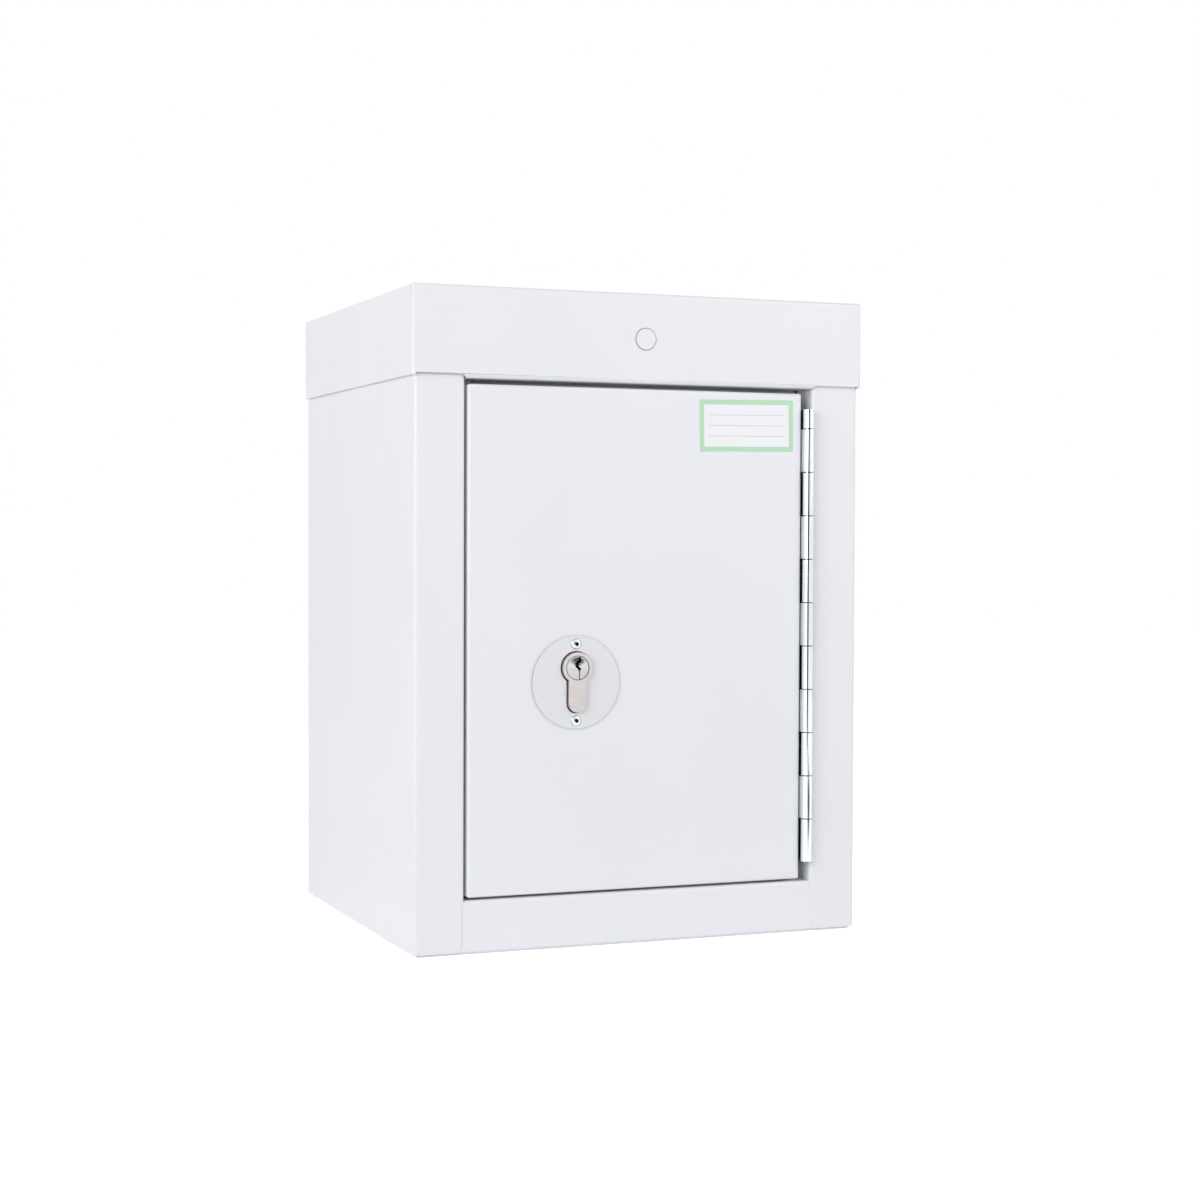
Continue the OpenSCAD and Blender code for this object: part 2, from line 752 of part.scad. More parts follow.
// Nut along +Z: its body stands on the sheet, and a clinched one has a spigot in the hole below
module clinch_nut(spigot) {
    difference() {
        union() {
            cylinder(d = nut_d, h = nut_h);
            if (spigot > 0)
                translate([0, 0, -spigot]) cylinder(d = nut_spigot_d, h = spigot + over);
        }
        translate([0, 0, -spigot - over])
            cylinder(d = case_screw_d + 2 * running_fit, h = spigot + nut_h + 2 * over);
    }
}

module cap_clinch_nuts() {
    color(zinc) in_frame() for (s = [-1, 1]) {
        translate([s * cap_screw_x, cap_screw_front_y, ceiling_z + sheet_t]) clinch_nut(0);
        translate([s * cap_screw_x, cap_screw_rear_y, foot_top]) clinch_nut(sheet_t);
    }
}

module shelf_angle(s) {
    x = s * (inner_x - shelf_t / 2);
    z = shelf_z - shelf_t / 2;
    color(paint) in_frame() along_y(shelf_front, side_fold_y)
        folded([[x, z - angle_leg], [x, z], [s * (inner_x - angle_leg), z]], shelf_t, shelf_t + shelf_bend);
}

module left_shelf_angle() {
    shelf_angle(-1);
}

module right_shelf_angle() {
    shelf_angle(1);
}

module shelf() {
    z = shelf_z + shelf_t / 2;
    x = inner_x - shelf_side_gap;
    lip_x = inner_x - angle_leg - over;
    rear = back_in - shelf_rear_gap;
    y0 = shelf_front + shelf_t / 2;
    y1 = rear - shelf_t / 2;
    r = shelf_t + shelf_bend;
    color(paint) in_frame() {
        box([-x, shelf_front + r, shelf_z], [x, rear - r, shelf_z + shelf_t]);
        along_x(-lip_x, lip_x)
            folded([[y0, z - shelf_lip], [y0, z], [y1, z], [y1, z - shelf_lip]], shelf_t, r);
    }
}

module keep_bracket() {
    leg_y = return_d + sheet_t / 2;
    low = bolt_mid_z - keep_h / 2;
    color(zinc) in_frame() difference() {
        along_z(low, low + keep_h)
            folded([[-open_x + 1, leg_y], [keep_x - sheet_t / 2, leg_y],
                    [keep_x - sheet_t / 2, cover_y]], sheet_t, fold_r);
        // Slot that the bolt enters
        box([keep_x - 3 * sheet_t, bolt_y0 - keep_gap, bolt_low - keep_gap],
            [keep_x + over, bolt_y0 + bolt_t + keep_gap, bolt_low + bolt_h + keep_gap]);
        for (s = [-1, 1])
            translate([keep_screw_x, return_d - over, bolt_mid_z + s * keep_screw_pitch / 2])
                rotate([-90, 0, 0]) cylinder(d = keep_screw_d + 2 * slide_gap, h = sheet_t + 2 * over);
    }
}

module keep_screws() {
    color(zinc) in_frame() for (s = [-1, 1])
        translate([keep_screw_x, return_d + sheet_t, bolt_mid_z + s * keep_screw_pitch / 2])
            rotate([180, 0, 0]) screw(keep_screw_d, 2 * sheet_t - 0.1, keep_screw_head);
}

// One half of the continuous hinge. s is 1 for the leaf on the stile and -1 for the leaf on the
// door; first is the index of its lowest knuckle, and it owns every second one from there
module hinge_half(s, first) {
    r = knuckle_d / 2;
    notch_y = hinge_y + r + knuckle_gap;
    x0 = s > 0 ? hinge_x + r - leaf_t : hinge_x - r;
    difference() {
        union() {
            box([x0, notch_y, hinge_z], [x0 + leaf_t, leaf_d, hinge_z + hinge_len]);
            for (i = [first : 2 : knuckle_count - 1]) {
                z0 = hinge_z + i * knuckle_pitch;
                z1 = i == knuckle_count - 1 ? hinge_z + hinge_len : z0 + knuckle_pitch - knuckle_gap;
                box([x0, hinge_y, z0], [x0 + leaf_t, notch_y + over, z1]);
                translate([hinge_x, hinge_y, z0]) cylinder(r = r, h = z1 - z0);
            }
        }
        translate([hinge_x, hinge_y, hinge_z - over])
            cylinder(d = pin_d + 2 * running_fit, h = hinge_len + 2 * over);
    }
}

module hinge_frame_leaf() {
    color(zinc) in_frame() hinge_half(1, 0);
}

module hinge_door_leaf() {
    color(zinc) in_frame() hinge_half(-1, 1);
}

module hinge_pin() {
    color(zinc) in_frame() translate([hinge_x, hinge_y, hinge_z]) cylinder(d = pin_d, h = hinge_len);
}

module plate_rivet_places() {
    for (s = [-1, 1]) translate([lock_x, 0, lock_z - plate_drop + s * rivet_spacing / 2]) children();
}

module door_skin() {
    low = [door_x0, 0, door_z0];
    high = [door_x1, door_t, door_z1];
    wall = [sheet_t, sheet_t, sheet_t];
    color(paint) in_frame() difference() {
        tray_block(low, high, fold_r, door_corner_r);
        tray_block(low + wall, [high[0] - sheet_t, high[1] + over, high[2] - sheet_t],
                   fold_r - sheet_t, door_corner_r - sheet_t);
        along_y(-over, sheet_t + over) euro_profile(profile_gap);
        plate_rivet_places() translate([0, -over, 0]) rotate([-90, 0, 0])
            cylinder(d = rivet_d + 2 * running_fit, h = sheet_t + 2 * over);
    }
}

module case_screw_places() {
    for (x = [case_x0 + ear_screw_inset, case_x1 - ear_screw_inset])
        for (z = [case_z0 - ear_h / 2, case_z1 + ear_h / 2])
            translate([x, 0, z]) children();
}

module door_inner_pan() {
    x0 = door_x0 + sheet_t;
    x1 = door_x1 - sheet_t;
    z0 = door_z0 + sheet_t;
    z1 = door_z1 - sheet_t;
    y0 = door_t - flange_h;
    r = pan_t + 0.5;
    color(paint) in_frame() difference() {
        // The tray's block turned round, so that its rounded face is the inside of the door
        translate([0, door_t, 0]) mirror([0, 1, 0]) difference() {
            tray_block([x0, 0, z0], [x1, flange_h, z1], r, pan_t / 2);
            tray_block([x0 + pan_t, pan_t, z0 + pan_t], [x1 - pan_t, flange_h + over, z1 - pan_t],
                       r - pan_t, pan_t / 2);
        }
        along_y(y0, door_t + over) euro_profile(profile_gap);
        case_screw_places() translate([0, y0, 0]) rotate([-90, 0, 0])
            cylinder(d = nut_spigot_d + 2 * running_fit, h = flange_h + over);
    }
}

module door_label() {
    color(label_white) in_frame()
        translate([door_x1 - label_edge - label_w / 2, 0, door_z1 - label_drop])
            rotate([0, -label_turn, 0]) along_y(-label_t, 0)
                round_rect([-label_w / 2, -label_h / 2], [label_w / 2, label_h / 2], label_corner_r);
}

module lock_plate() {
    color(plate_white) in_frame() difference() {
        translate([lock_x, 0, lock_z - plate_drop]) rotate([90, 0, 0]) cylinder(d = plate_d, h = plate_t);
        along_y(-plate_t - over, over) euro_profile(profile_gap);
        plate_rivet_places() translate([0, over, 0]) rotate([90, 0, 0])
            cylinder(d = rivet_d + 2 * running_fit, h = plate_t + 2 * over);
    }
}

// Blind rivets: a domed hollow head, a shank through plate and skin, and the tail swelled behind
module plate_rivets() {
    dome_r = (pow(rivet_head_d / 2, 2) + pow(rivet_head_h, 2)) / (2 * rivet_head_h);
    grip = plate_t + sheet_t;
    color(zinc) in_frame() plate_rivet_places()
        translate([0, -plate_t, 0]) rotate([-90, 0, 0]) rotate_extrude() difference() {
            union() {
                intersection() {
                    translate([0, dome_r - rivet_head_h]) circle(dome_r);
                    translate([0, -rivet_head_h]) square([rivet_head_d / 2, rivet_head_h]);
                }
                square([rivet_d / 2, grip + rivet_tail + rivet_end]);
                translate([0, grip]) square([rivet_d / 2 + rivet_swell, rivet_tail]);
            }
            translate([-dome_r, -dome_r]) square([dome_r, 4 * dome_r]);
            translate([0, -rivet_head_h - over]) square([mandrel_r, over + 2 * rivet_head_h]);
        }
}

module case_outline() {
    round_rect([case_x0, case_z0], [case_x1, case_z1], case_corner_r);
}

module post_places() {
    for (x = [case_x0 + post_inset, case_x1 - post_inset])
        for (z = [case_z0 + post_inset, case_z1 - post_inset])
            translate([x, 0, z]) children();
}

module lock_case() {
    color(zinc) in_frame() difference() {
        union() {
            // Back plate with its ears
            along_y(case_y, case_in_y)
                round_rect([case_x0, case_z0 - ear_h], [case_x1, case_z1 + ear_h], ear_corner_r);
            // Walls
            along_y(case_y, cover_y) difference() {
                case_outline();
                round_rect([case_x0 + sheet_t, case_z0 + sheet_t],
                           [case_x1 - sheet_t, case_z1 - sheet_t], case_inner_r);
            }
            post_places() translate([0, case_y, 0]) rotate([-90, 0, 0])
                cylinder(d = post_d, h = cover_y - case_y);
        }
        along_y(case_y - over, case_in_y + over) euro_profile(profile_gap);
        // Window for the bolt
        box([case_x0 - over, bolt_y0 - slide_gap, bolt_low - slide_gap],
            [case_x0 + sheet_t + over, bolt_y0 + bolt_t + slide_gap, bolt_low + bolt_h + slide_gap]);
        // Hole for the cylinder's fixing screw
        translate([case_x0 - over, cam_y, fixing_z]) rotate([0, 90, 0])
            cylinder(d = fixing_d + 2 * slide_gap, h = sheet_t + 2 * over);
        case_screw_places() translate([0, case_y - over, 0]) rotate([-90, 0, 0])
            cylinder(d = case_screw_d + 2 * slide_gap, h = sheet_t + 2 * over);
        post_places() translate([0, case_in_y, 0]) rotate([-90, 0, 0])
            cylinder(d = post_screw_d + 2 * running_fit, h = case_room + over);
        for (x = stud_x)
            translate([x, case_y - over, stud_z]) rotate([-90, 0, 0])
                cylinder(d = stud_d + 2 * running_fit, h = sheet_t + 2 * over);
        translate([spring_foot_x, cam_y, case_z1 - sheet_t - over])
            cylinder(d = spring_rivet_d + 2 * running_fit, h = sheet_t + 2 * over);
    }
}

module lock_case_cover() {
    color(zinc) in_frame() difference() {
        along_y(cover_y, cover_y + sheet_t) case_outline();
        along_y(cover_y - over, cover_y + sheet_t + over) euro_profile(profile_gap);
        post_places() translate([0, cover_y - over, 0]) rotate([-90, 0, 0])
            cylinder(d = post_screw_d + 2 * slide_gap, h = sheet_t + 2 * over);
    }
}

module cover_screws() {
    color(zinc) in_frame() post_places() translate([0, cover_y + sheet_t, 0])
        rotate([180, 0, 0]) screw(post_screw_d, sheet_t + post_screw_grip, post_screw_head);
}

module case_fixing_screws() {
    color(zinc) in_frame() case_screw_places() translate([0, case_in_y, 0])
        rotate([180, 0, 0]) screw(case_screw_d, sheet_t + pan_t + nut_h + 1, case_screw_head);
}

module case_clinch_nuts() {
    color(zinc) in_frame() case_screw_places() translate([0, door_t - pan_t, 0])
        rotate([90, 0, 0]) clinch_nut(pan_t);
}

// Turned studs that guide the bolt, each with a collar that spaces it off the back plate
module bolt_guide_studs() {
    color(steel) in_frame() for (x = stud_x) translate([x, 0, stud_z]) {
        translate([0, case_y, 0]) rotate([-90, 0, 0]) cylinder(d = stud_d, h = cover_y - case_y);
        translate([0, case_in_y, 0]) rotate([-90, 0, 0])
            cylinder(d = stud_d + 2 * stud_collar, h = bolt_y0 - slide_gap - case_in_y);
    }
}

// Leaf spring over the bolt: a foot under the case's top wall, and a sprung nose above the bolt
module detent_spring() {
    foot_z = case_z1 - sheet_t - spring_t / 2;
    nose_z = bolt_low + bolt_h + slide_gap + spring_t / 2;
    nose_x = spring_foot_x - spring_foot - spring_reach;
    path = [
        [spring_foot_x + spring_foot, foot_z], [spring_foot_x - spring_foot, foot_z],
        [nose_x, nose_z], [nose_x - spring_nose[0], nose_z + spring_nose[1]]];
    color(steel) in_frame() difference() {
        along_y(cam_y - spring_w / 2, cam_y + spring_w / 2) strip(path, spring_t);
        translate([spring_foot_x, cam_y, foot_z - over])
            cylinder(d = spring_rivet_d + 2 * running_fit, h = 2 * over);
    }
}

module spring_rivet() {
    head_z = case_z1 - sheet_t - spring_t - spring_rivet_head[1];
    color(steel) in_frame() translate([spring_foot_x, cam_y, head_z]) {
        cylinder(d = spring_rivet_head[0], h = spring_rivet_head[1]);
        cylinder(d = spring_rivet_d, h = case_z1 - head_z);
    }
}

module cylinder_body() {
    color(nickel) in_frame() difference() {
        along_y(face_y, cyl_end_y) euro_profile();
        // Bore for the plug
        translate([lock_x, face_y - over, lock_z]) rotate([-90, 0, 0])
            cylinder(d = plug_d + 2 * running_fit, h = cyl_front_len + over);
        // Slot for the cam
        box([lock_x - cyl_head_d, slot_y, bridge_top], [lock_x + cyl_head_d, rear_y, lock_z + cyl_head_d]);
        translate([lock_x, rear_y - over, lock_z]) rotate([-90, 0, 0])
            cylinder(d = journal_d + 2 * running_fit, h = cyl_rear_len + 2 * over);
        for (i = [0 : pin_count - 1])
            translate([lock_x, pin_y(i), web_bottom - over])
                cylinder(d = pin_body_d + 2 * pin_room, h = lock_z - web_bottom);
        translate([lock_x - cyl_head_d, cam_y, fixing_z]) rotate([0, 90, 0])
            cylinder(d = fixing_d + 2 * running_fit, h = 2 * cyl_head_d);
    }
}

module cylinder_fixing_screw() {
    color(zinc) in_frame() translate([case_x0, cam_y, fixing_z]) rotate([0, 0, -90])
        screw(fixing_d, lock_x - case_x0 + cyl_web_w / 2 + 1, fixing_head);
}

module driver_pins() {
    color(brass) in_frame() for (i = [0 : pin_count - 1])
        translate([lock_x, pin_y(i), driver_z]) cylinder(d = pin_body_d, h = driver_len);
}

module pin_springs() {
    z0 = chamber_plug_z + chamber_plug_h;
    h = driver_z - z0;
    color(steel) in_frame() for (i = [0 : pin_count - 1])
        translate([lock_x, pin_y(i), z0]) difference() {
            cylinder(d = pin_body_d - 2 * pin_room, h = h);
            translate([0, 0, -over]) cylinder(d = pin_body_d - 2 * pin_room - 1, h = h + 2 * over);
        }
}

module chamber_plugs() {
    color(brass) in_frame() for (i = [0 : pin_count - 1])
        translate([lock_x, pin_y(i), chamber_plug_z]) cylinder(d = pin_body_d, h = chamber_plug_h);
}

// Keyway seen from the front: a winding line with a notch beside it, and a slit down to the rim
module keyway() {
    mitred(keyway_line, keyway_w);
    mitred(keyway_notch, keyway_slit_w);
    low = keyway_line[len(keyway_line) - 1];
    translate([low[0], -plug_d / 2 - over])
        square([keyway_slit_w, plug_d / 2 + over + low[1]]);
}

// Dish in the plug's face, and the short line engraved across its rim
module plug_face_waste(y0) {
    translate([0, y0, 0]) rotate([-90, 0, 0]) cylinder(r1 = dish_r, r2 = 0, h = plug_dish);
    box([-dish_r - index_mark[2], y0 - over, index_mark[0] - index_mark[2] / 2],
        [-dish_r + index_mark[1], y0 + index_depth, index_mark[0] + index_mark[2] / 2]);
}

// Neck with two flats, which drives the cam
module neck_outline(gap) {
    intersection() {
        circle(d = neck_d + 2 * gap);
        square([neck_flat + 2 * gap, neck_d + 2 * over], center = true);
    }
}

module cylinder_plug() {
    y0 = face_y + plug_recess;
    y1 = slot_y - slide_gap / 2;
    neck_end = rear_y - slide_gap / 2;
    color(nickel) in_frame() translate([lock_x, 0, lock_z]) difference() {
        union() {
            translate([0, y0, 0]) rotate([-90, 0, 0]) cylinder(d = plug_d, h = y1 - y0);
            along_y(y1 - over, neck_end) neck_outline(0);
            translate([0, neck_end, 0]) rotate([-90, 0, 0])
                cylinder(d = journal_d, h = cyl_end_y - neck_end + journal_out);
        }
        along_y(y0 - over, y1 - keyway_end) keyway();
        plug_face_waste(y0);
        for (i = [0 : pin_count - 1])
            translate([0, pin_y(i), -plug_d / 2 - over])
                cylinder(d = pin_body_d + 2 * pin_room, h = plug_d / 2 + over);
        // Groove for the clip
        translate([0, clip_y - pin_room, 0]) rotate([-90, 0, 0]) difference() {
            cylinder(d = journal_d + over, h = clip_t + 2 * pin_room);
            translate([0, 0, -over]) cylinder(d = groove_d, h = clip_t + 2 * over);
        }
    }
}

module key_pins() {
    color(brass) in_frame() for (i = [0 : pin_count - 1])
        translate([lock_x, pin_y(i), shear_z + shear_gap])
            cylinder(d = pin_body_d, h = key_pin_len + key_pin_step * (i % 3));
}

// At rest the arm leans half the key's turn towards the hinge, and the turn swings it to the other side
module cylinder_cam() {
    color(steel) in_frame() translate([lock_x, 0, lock_z]) rotate([0, key_turn / 2, 0])
        difference() {
            along_y(slot_y + slide_gap, rear_y - slide_gap) {
                circle(d = cyl_head_d - cam_inset);
                translate([0, arm_r]) circle(d = cam_arm_w);
                translate([-cam_arm_w / 2, 0]) square([cam_arm_w, arm_r]);
            }
            rotate([0, -key_turn / 2, 0]) along_y(slot_y - over, rear_y + over) neck_outline(pin_room);
        }
}

module plug_clip() {
    color(steel) in_frame() translate([lock_x, clip_y, lock_z]) rotate([-90, 0, 0])
        difference() {
            cylinder(d = clip_d, h = clip_t);
            translate([0, 0, -over]) cylinder(d = groove_d + 2 * pin_room, h = clip_t + 2 * over);
            translate([-clip_mouth / 2, -clip_d, -over]) cube([clip_mouth, clip_d, clip_t + 2 * over]);
        }
}

// The bolt at rest is drawn back; its notch holds the cam's arm and its slots run on the studs
module deadbolt() {
    color(steel) in_frame() along_y(bolt_y0, bolt_y0 + bolt_t) difference() {
        translate([case_x0, bolt_low]) square([bolt_tail_x - case_x0, bolt_h]);
        translate([arm_slot_x, bolt_low - over]) square([arm_slot_w, arm_slot_top - bolt_low + over]);
        for (x = stud_x) {
            translate([x, stud_z]) circle(slot_r);
            translate([x + bolt_throw, stud_z]) circle(slot_r);
            translate([x, stud_z - slot_r]) square([bolt_throw, 2 * slot_r]);
        }
    }
}

left_side_panel();
right_side_panel();
back_panel();
base_panel();
ceiling_panel();
top_cap();
blanking_plug();
top_stop_strip();
cap_screws();
cap_clinch_nuts();
left_shelf_angle();
right_shelf_angle();
shelf();
keep_bracket();
keep_screws();
hinge_frame_leaf();
hinge_pin();
door_skin();
door_inner_pan();
hinge_door_leaf();
door_label();
lock_plate();
plate_rivets();
lock_case();
lock_case_cover();
cover_screws();
case_fixing_screws();
case_clinch_nuts();
bolt_guide_studs();
detent_spring();
spring_rivet();
cylinder_body();
cylinder_fixing_screw();
driver_pins();
pin_springs();
chamber_plugs();
cylinder_plug();
key_pins();
cylinder_cam();
plug_clip();
deadbolt();
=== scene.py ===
"""Looks of a lockable medicine cabinet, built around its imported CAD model.

A folded steel body under a wrap-over cap, a tray door on a continuous hinge, and a profile cylinder
that throws a deadbolt. Every surface gets its finish here, sharp sheet edges are eased as powder
coat and plating leave them, and the sticker, the rivets' broken stems and the pin springs are made.
"""

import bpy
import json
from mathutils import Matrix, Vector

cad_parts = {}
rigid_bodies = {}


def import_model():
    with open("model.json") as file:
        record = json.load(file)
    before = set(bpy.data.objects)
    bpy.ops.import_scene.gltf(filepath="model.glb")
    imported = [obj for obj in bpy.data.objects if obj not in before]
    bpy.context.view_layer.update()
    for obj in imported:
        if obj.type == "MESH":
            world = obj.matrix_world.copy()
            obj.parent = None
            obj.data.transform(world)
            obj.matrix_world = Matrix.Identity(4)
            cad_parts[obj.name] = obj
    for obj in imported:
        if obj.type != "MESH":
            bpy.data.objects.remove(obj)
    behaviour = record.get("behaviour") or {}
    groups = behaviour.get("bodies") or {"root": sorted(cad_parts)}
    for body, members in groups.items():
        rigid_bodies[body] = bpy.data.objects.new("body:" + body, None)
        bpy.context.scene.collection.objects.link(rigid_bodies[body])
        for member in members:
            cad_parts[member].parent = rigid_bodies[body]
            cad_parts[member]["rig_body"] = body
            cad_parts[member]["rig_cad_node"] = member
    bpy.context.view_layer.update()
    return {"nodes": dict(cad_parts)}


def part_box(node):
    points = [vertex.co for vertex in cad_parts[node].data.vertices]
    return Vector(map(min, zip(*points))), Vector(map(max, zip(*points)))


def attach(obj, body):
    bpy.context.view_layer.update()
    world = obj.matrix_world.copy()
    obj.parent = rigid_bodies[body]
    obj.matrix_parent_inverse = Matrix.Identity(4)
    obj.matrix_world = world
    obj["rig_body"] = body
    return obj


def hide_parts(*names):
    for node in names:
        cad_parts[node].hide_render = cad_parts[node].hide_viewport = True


bl_info = {
    "name": "Lockable medicine cabinet",
    "version": (1, 0, 0),
    "blender": (4, 5, 0),
    "location": "3D View > Sidebar > Cabinet",
    "description": "Finishes, fine pieces and stage for a lockable medicine cabinet",
    "category": "Object",
}

import itertools
import json
import math

import bmesh
import bpy
from bpy.props import FloatProperty, FloatVectorProperty, PointerProperty, StringProperty
from bpy.types import Operator, Panel, PropertyGroup
from mathutils import Matrix, Vector

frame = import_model()

MM = 0.001

# The Mix node gives the same names to the sockets of each kind of data, so these count them
COLOUR_A, COLOUR_B, COLOUR_OUT = 6, 7, 2
VALUE_A, VALUE_B = 2, 3

# CAD pieces by finish, with the radius in millimetres that their sharp edges are eased to. A piece
# without a radius keeps its CAD mesh and only gets the finish: it is small and never seen close, or
# it is the left side panel, where a bevel folds over itself at the lower front corner.
PAINTED = {
    "left_side_panel": None, "right_side_panel": 0.2, "back_panel": 0.3, "base_panel": 0.2,
    "ceiling_panel": 0.2, "top_stop_strip": 0.3, "left_shelf_angle": 0.3,
    "right_shelf_angle": 0.3, "shelf": 0.3, "door_skin": 0.3, "door_inner_pan": 0.2,
}
PLATED = {
    "keep_bracket": 0.2, "lock_case": 0.2, "lock_case_cover": 0.2, "cap_screws": None,
    "cap_clinch_nuts": None, "keep_screws": None, "cover_screws": None, "case_fixing_screws": None,
    "case_clinch_nuts": None, "cylinder_fixing_screw": None,
}
GROUND = {
    "deadbolt": 0.3, "cylinder_cam": 0.15, "detent_spring": None, "spring_rivet": None,
    "bolt_guide_studs": None, "plug_clip": None,
}
TURNED = {"driver_pins": None, "chamber_plugs": None, "key_pins": None}

# Edges at more than the sharp angle are eased, apart from two that meet at less than the narrow
# angle and, on folded sheet and the cylinder, those shorter than this many radii
SHARP_ANGLE = math.radians(38)
NARROW_ANGLE = math.radians(30)
SHORTEST = 4

# Ends of the handling marks on the cap's left side, as Y and Z in millimetres
CAP_MARKS = (((89.3, 332.7), (83.4, 323.1)), ((83.4, 323.1), (76.0, 314.1)),
             ((-71.2, 322.0), (-71.2, 317.6)), ((-102.6, 355.3), (-104.5, 351.4)))

# Radius of the lock's plug, and the pitch and half the joint of the hinge's knuckles, all in
# millimetres
PLUG_RADIUS = 6.7
KNUCKLE_PITCH = 24.7
JOINT_HALF = 0.2


class CabinetFinishes(PropertyGroup):
    paint: StringProperty(name="Paint", description="Colour of the powder coat", default="#edeef2")
    plate: StringProperty(name="Plate", description="Colour of the round plate", default="#e7e7ea")
    zinc: StringProperty(name="Zinc", description="Colour of the zinc plating", default="#eef2f4")
    case: StringProperty(
        name="Lock case", description="Colour of the lock case's plating", default="#bfc5ca")
    nickel: StringProperty(name="Nickel", description="Colour of the nickel", default="#e4dedb")
    plug: StringProperty(name="Plug", description="Colour of the plug's nickel", default="#dcdad9")
    steel: StringProperty(name="Steel", description="Colour of ground steel", default="#b9babb")
    brass: StringProperty(name="Brass", description="Colour of turned brass", default="#cdb26e")
    peel: FloatProperty(
        name="Orange peel", description="Width of one swell in the powder coat",
        default=1.6 * MM, unit="LENGTH")


class CabinetLabel(PropertyGroup):
    width: FloatProperty(
        name="Width", description="Width of the sticker", default=58 * MM, unit="LENGTH")
    height: FloatProperty(
        name="Height", description="Height of the sticker", default=29 * MM, unit="LENGTH")
    border: FloatProperty(
        name="Border", description="Width of the coloured border", default=2.7 * MM, unit="LENGTH")
    turn: FloatProperty(
        name="Turn", description="Turn of the sticker as stuck on, seen from the front",
        default=math.radians(0.9), subtype="ANGLE")
    green: StringProperty(name="Border colour", description="Printed border", default="#b8e0be")
    white: StringProperty(name="Field colour", description="Write-on field", default="#f3f3f6")
    grey: StringProperty(name="Rule colour", description="Printed rules", default="#c3c9cd")


class CabinetStage(PropertyGroup):
    camera_place: FloatVectorProperty(
        name="Camera", description="Where the camera stands", size=3,
        default=(-0.47084, -1.23311, 0.22427), subtype="TRANSLATION")
    yaw: FloatProperty(
        name="Yaw", description="Turn of the view to the right", default=0.3777, subtype="ANGLE")
    pitch: FloatProperty(
        name="Pitch", description="Tilt of the view upwards", default=-0.0276, subtype="ANGLE")
    roll: FloatProperty(
        name="Roll", description="Roll of the camera", default=0.0036, subtype="ANGLE")
    lens: FloatProperty(
        name="Lens", description="Focal length on a 36 mm sensor", default=65.83, unit="CAMERA")
    sky: FloatProperty(name="Sky", description="Strength of the light all round", default=0.69)
    ceiling: FloatProperty(
        name="Ceiling", description="Strength of the light from above", default=0.45)
    key: FloatProperty(
        name="Key lamp", description="Power of the broad lamp on the left", default=28.0,
        unit="POWER")
    fill: FloatProperty(
        name="Fill lamp", description="Power of the high lamp on the right", default=6.2,
        unit="POWER")


def linear(code):
    """Linear colour of an sRGB hex code"""
    shares = [int(code[i:i + 2], 16) / 255 for i in (1, 3, 5)]
    return [s / 12.92 if s <= 0.04045 else ((s + 0.055) / 1.055) ** 2.4 for s in shares] + [1.0]


def scaled(colour, share):
    """A linear colour made darker or lighter, up to white"""
    return [min(c * share, 1.0) for c in colour[:3]] + [1.0]


def add(tree, kind, inputs=None, **settings):
    """Add a node to a tree, with its settings, and its inputs as values or as sockets to link"""
    made = tree.nodes.new(kind)
    for name, value in settings.items():
        setattr(made, name, value)
    for socket, value in (inputs or {}).items():
        if isinstance(value, bpy.types.NodeSocket):
            tree.links.new(value, made.inputs[socket])
        else:
            made.inputs[socket].default_value = value
    return made


def new_material(name):
    """A material with an empty tree, and its coordinates in metres, fixed to the piece"""
    material = bpy.data.materials.new(name)
    material.use_nodes = True
    tree = material.node_tree
    tree.nodes.clear()
    place = add(tree, "ShaderNodeTexCoord").outputs["Object"]
    return material, tree, place


def close_material(tree, shader):
    add(tree, "ShaderNodeOutputMaterial", {"Surface": shader})


def ring(tree, place, middle, inner, outer):
    """Share that rises from 0 to 1 between two radii in millimetres round an axis along Y"""
    off = add(tree, "ShaderNodeVectorMath", {0: place, 1: middle}, operation="SUBTRACT")
    flat = add(tree, "ShaderNodeVectorMath", {0: off.outputs[0], 1: (1, 0, 1)},
               operation="MULTIPLY")
    away = add(tree, "ShaderNodeVectorMath", {0: flat.outputs[0]}, operation="LENGTH")
    return add(tree, "ShaderNodeMapRange",
               {"Value": away.outputs["Value"], "From Min": inner * MM,
                "From Max": outer * MM}).outputs[0]


def with_mark_or_shade(tree, colour, mark_or_shade, share):
    """A colour socket mixed with a mark, a print or a painted shade where a share says so"""
    return add(tree, "ShaderNodeMix",
               {"Factor": share, COLOUR_A: colour, COLOUR_B: linear(mark_or_shade)},
               data_type="RGBA").outputs[COLOUR_OUT]


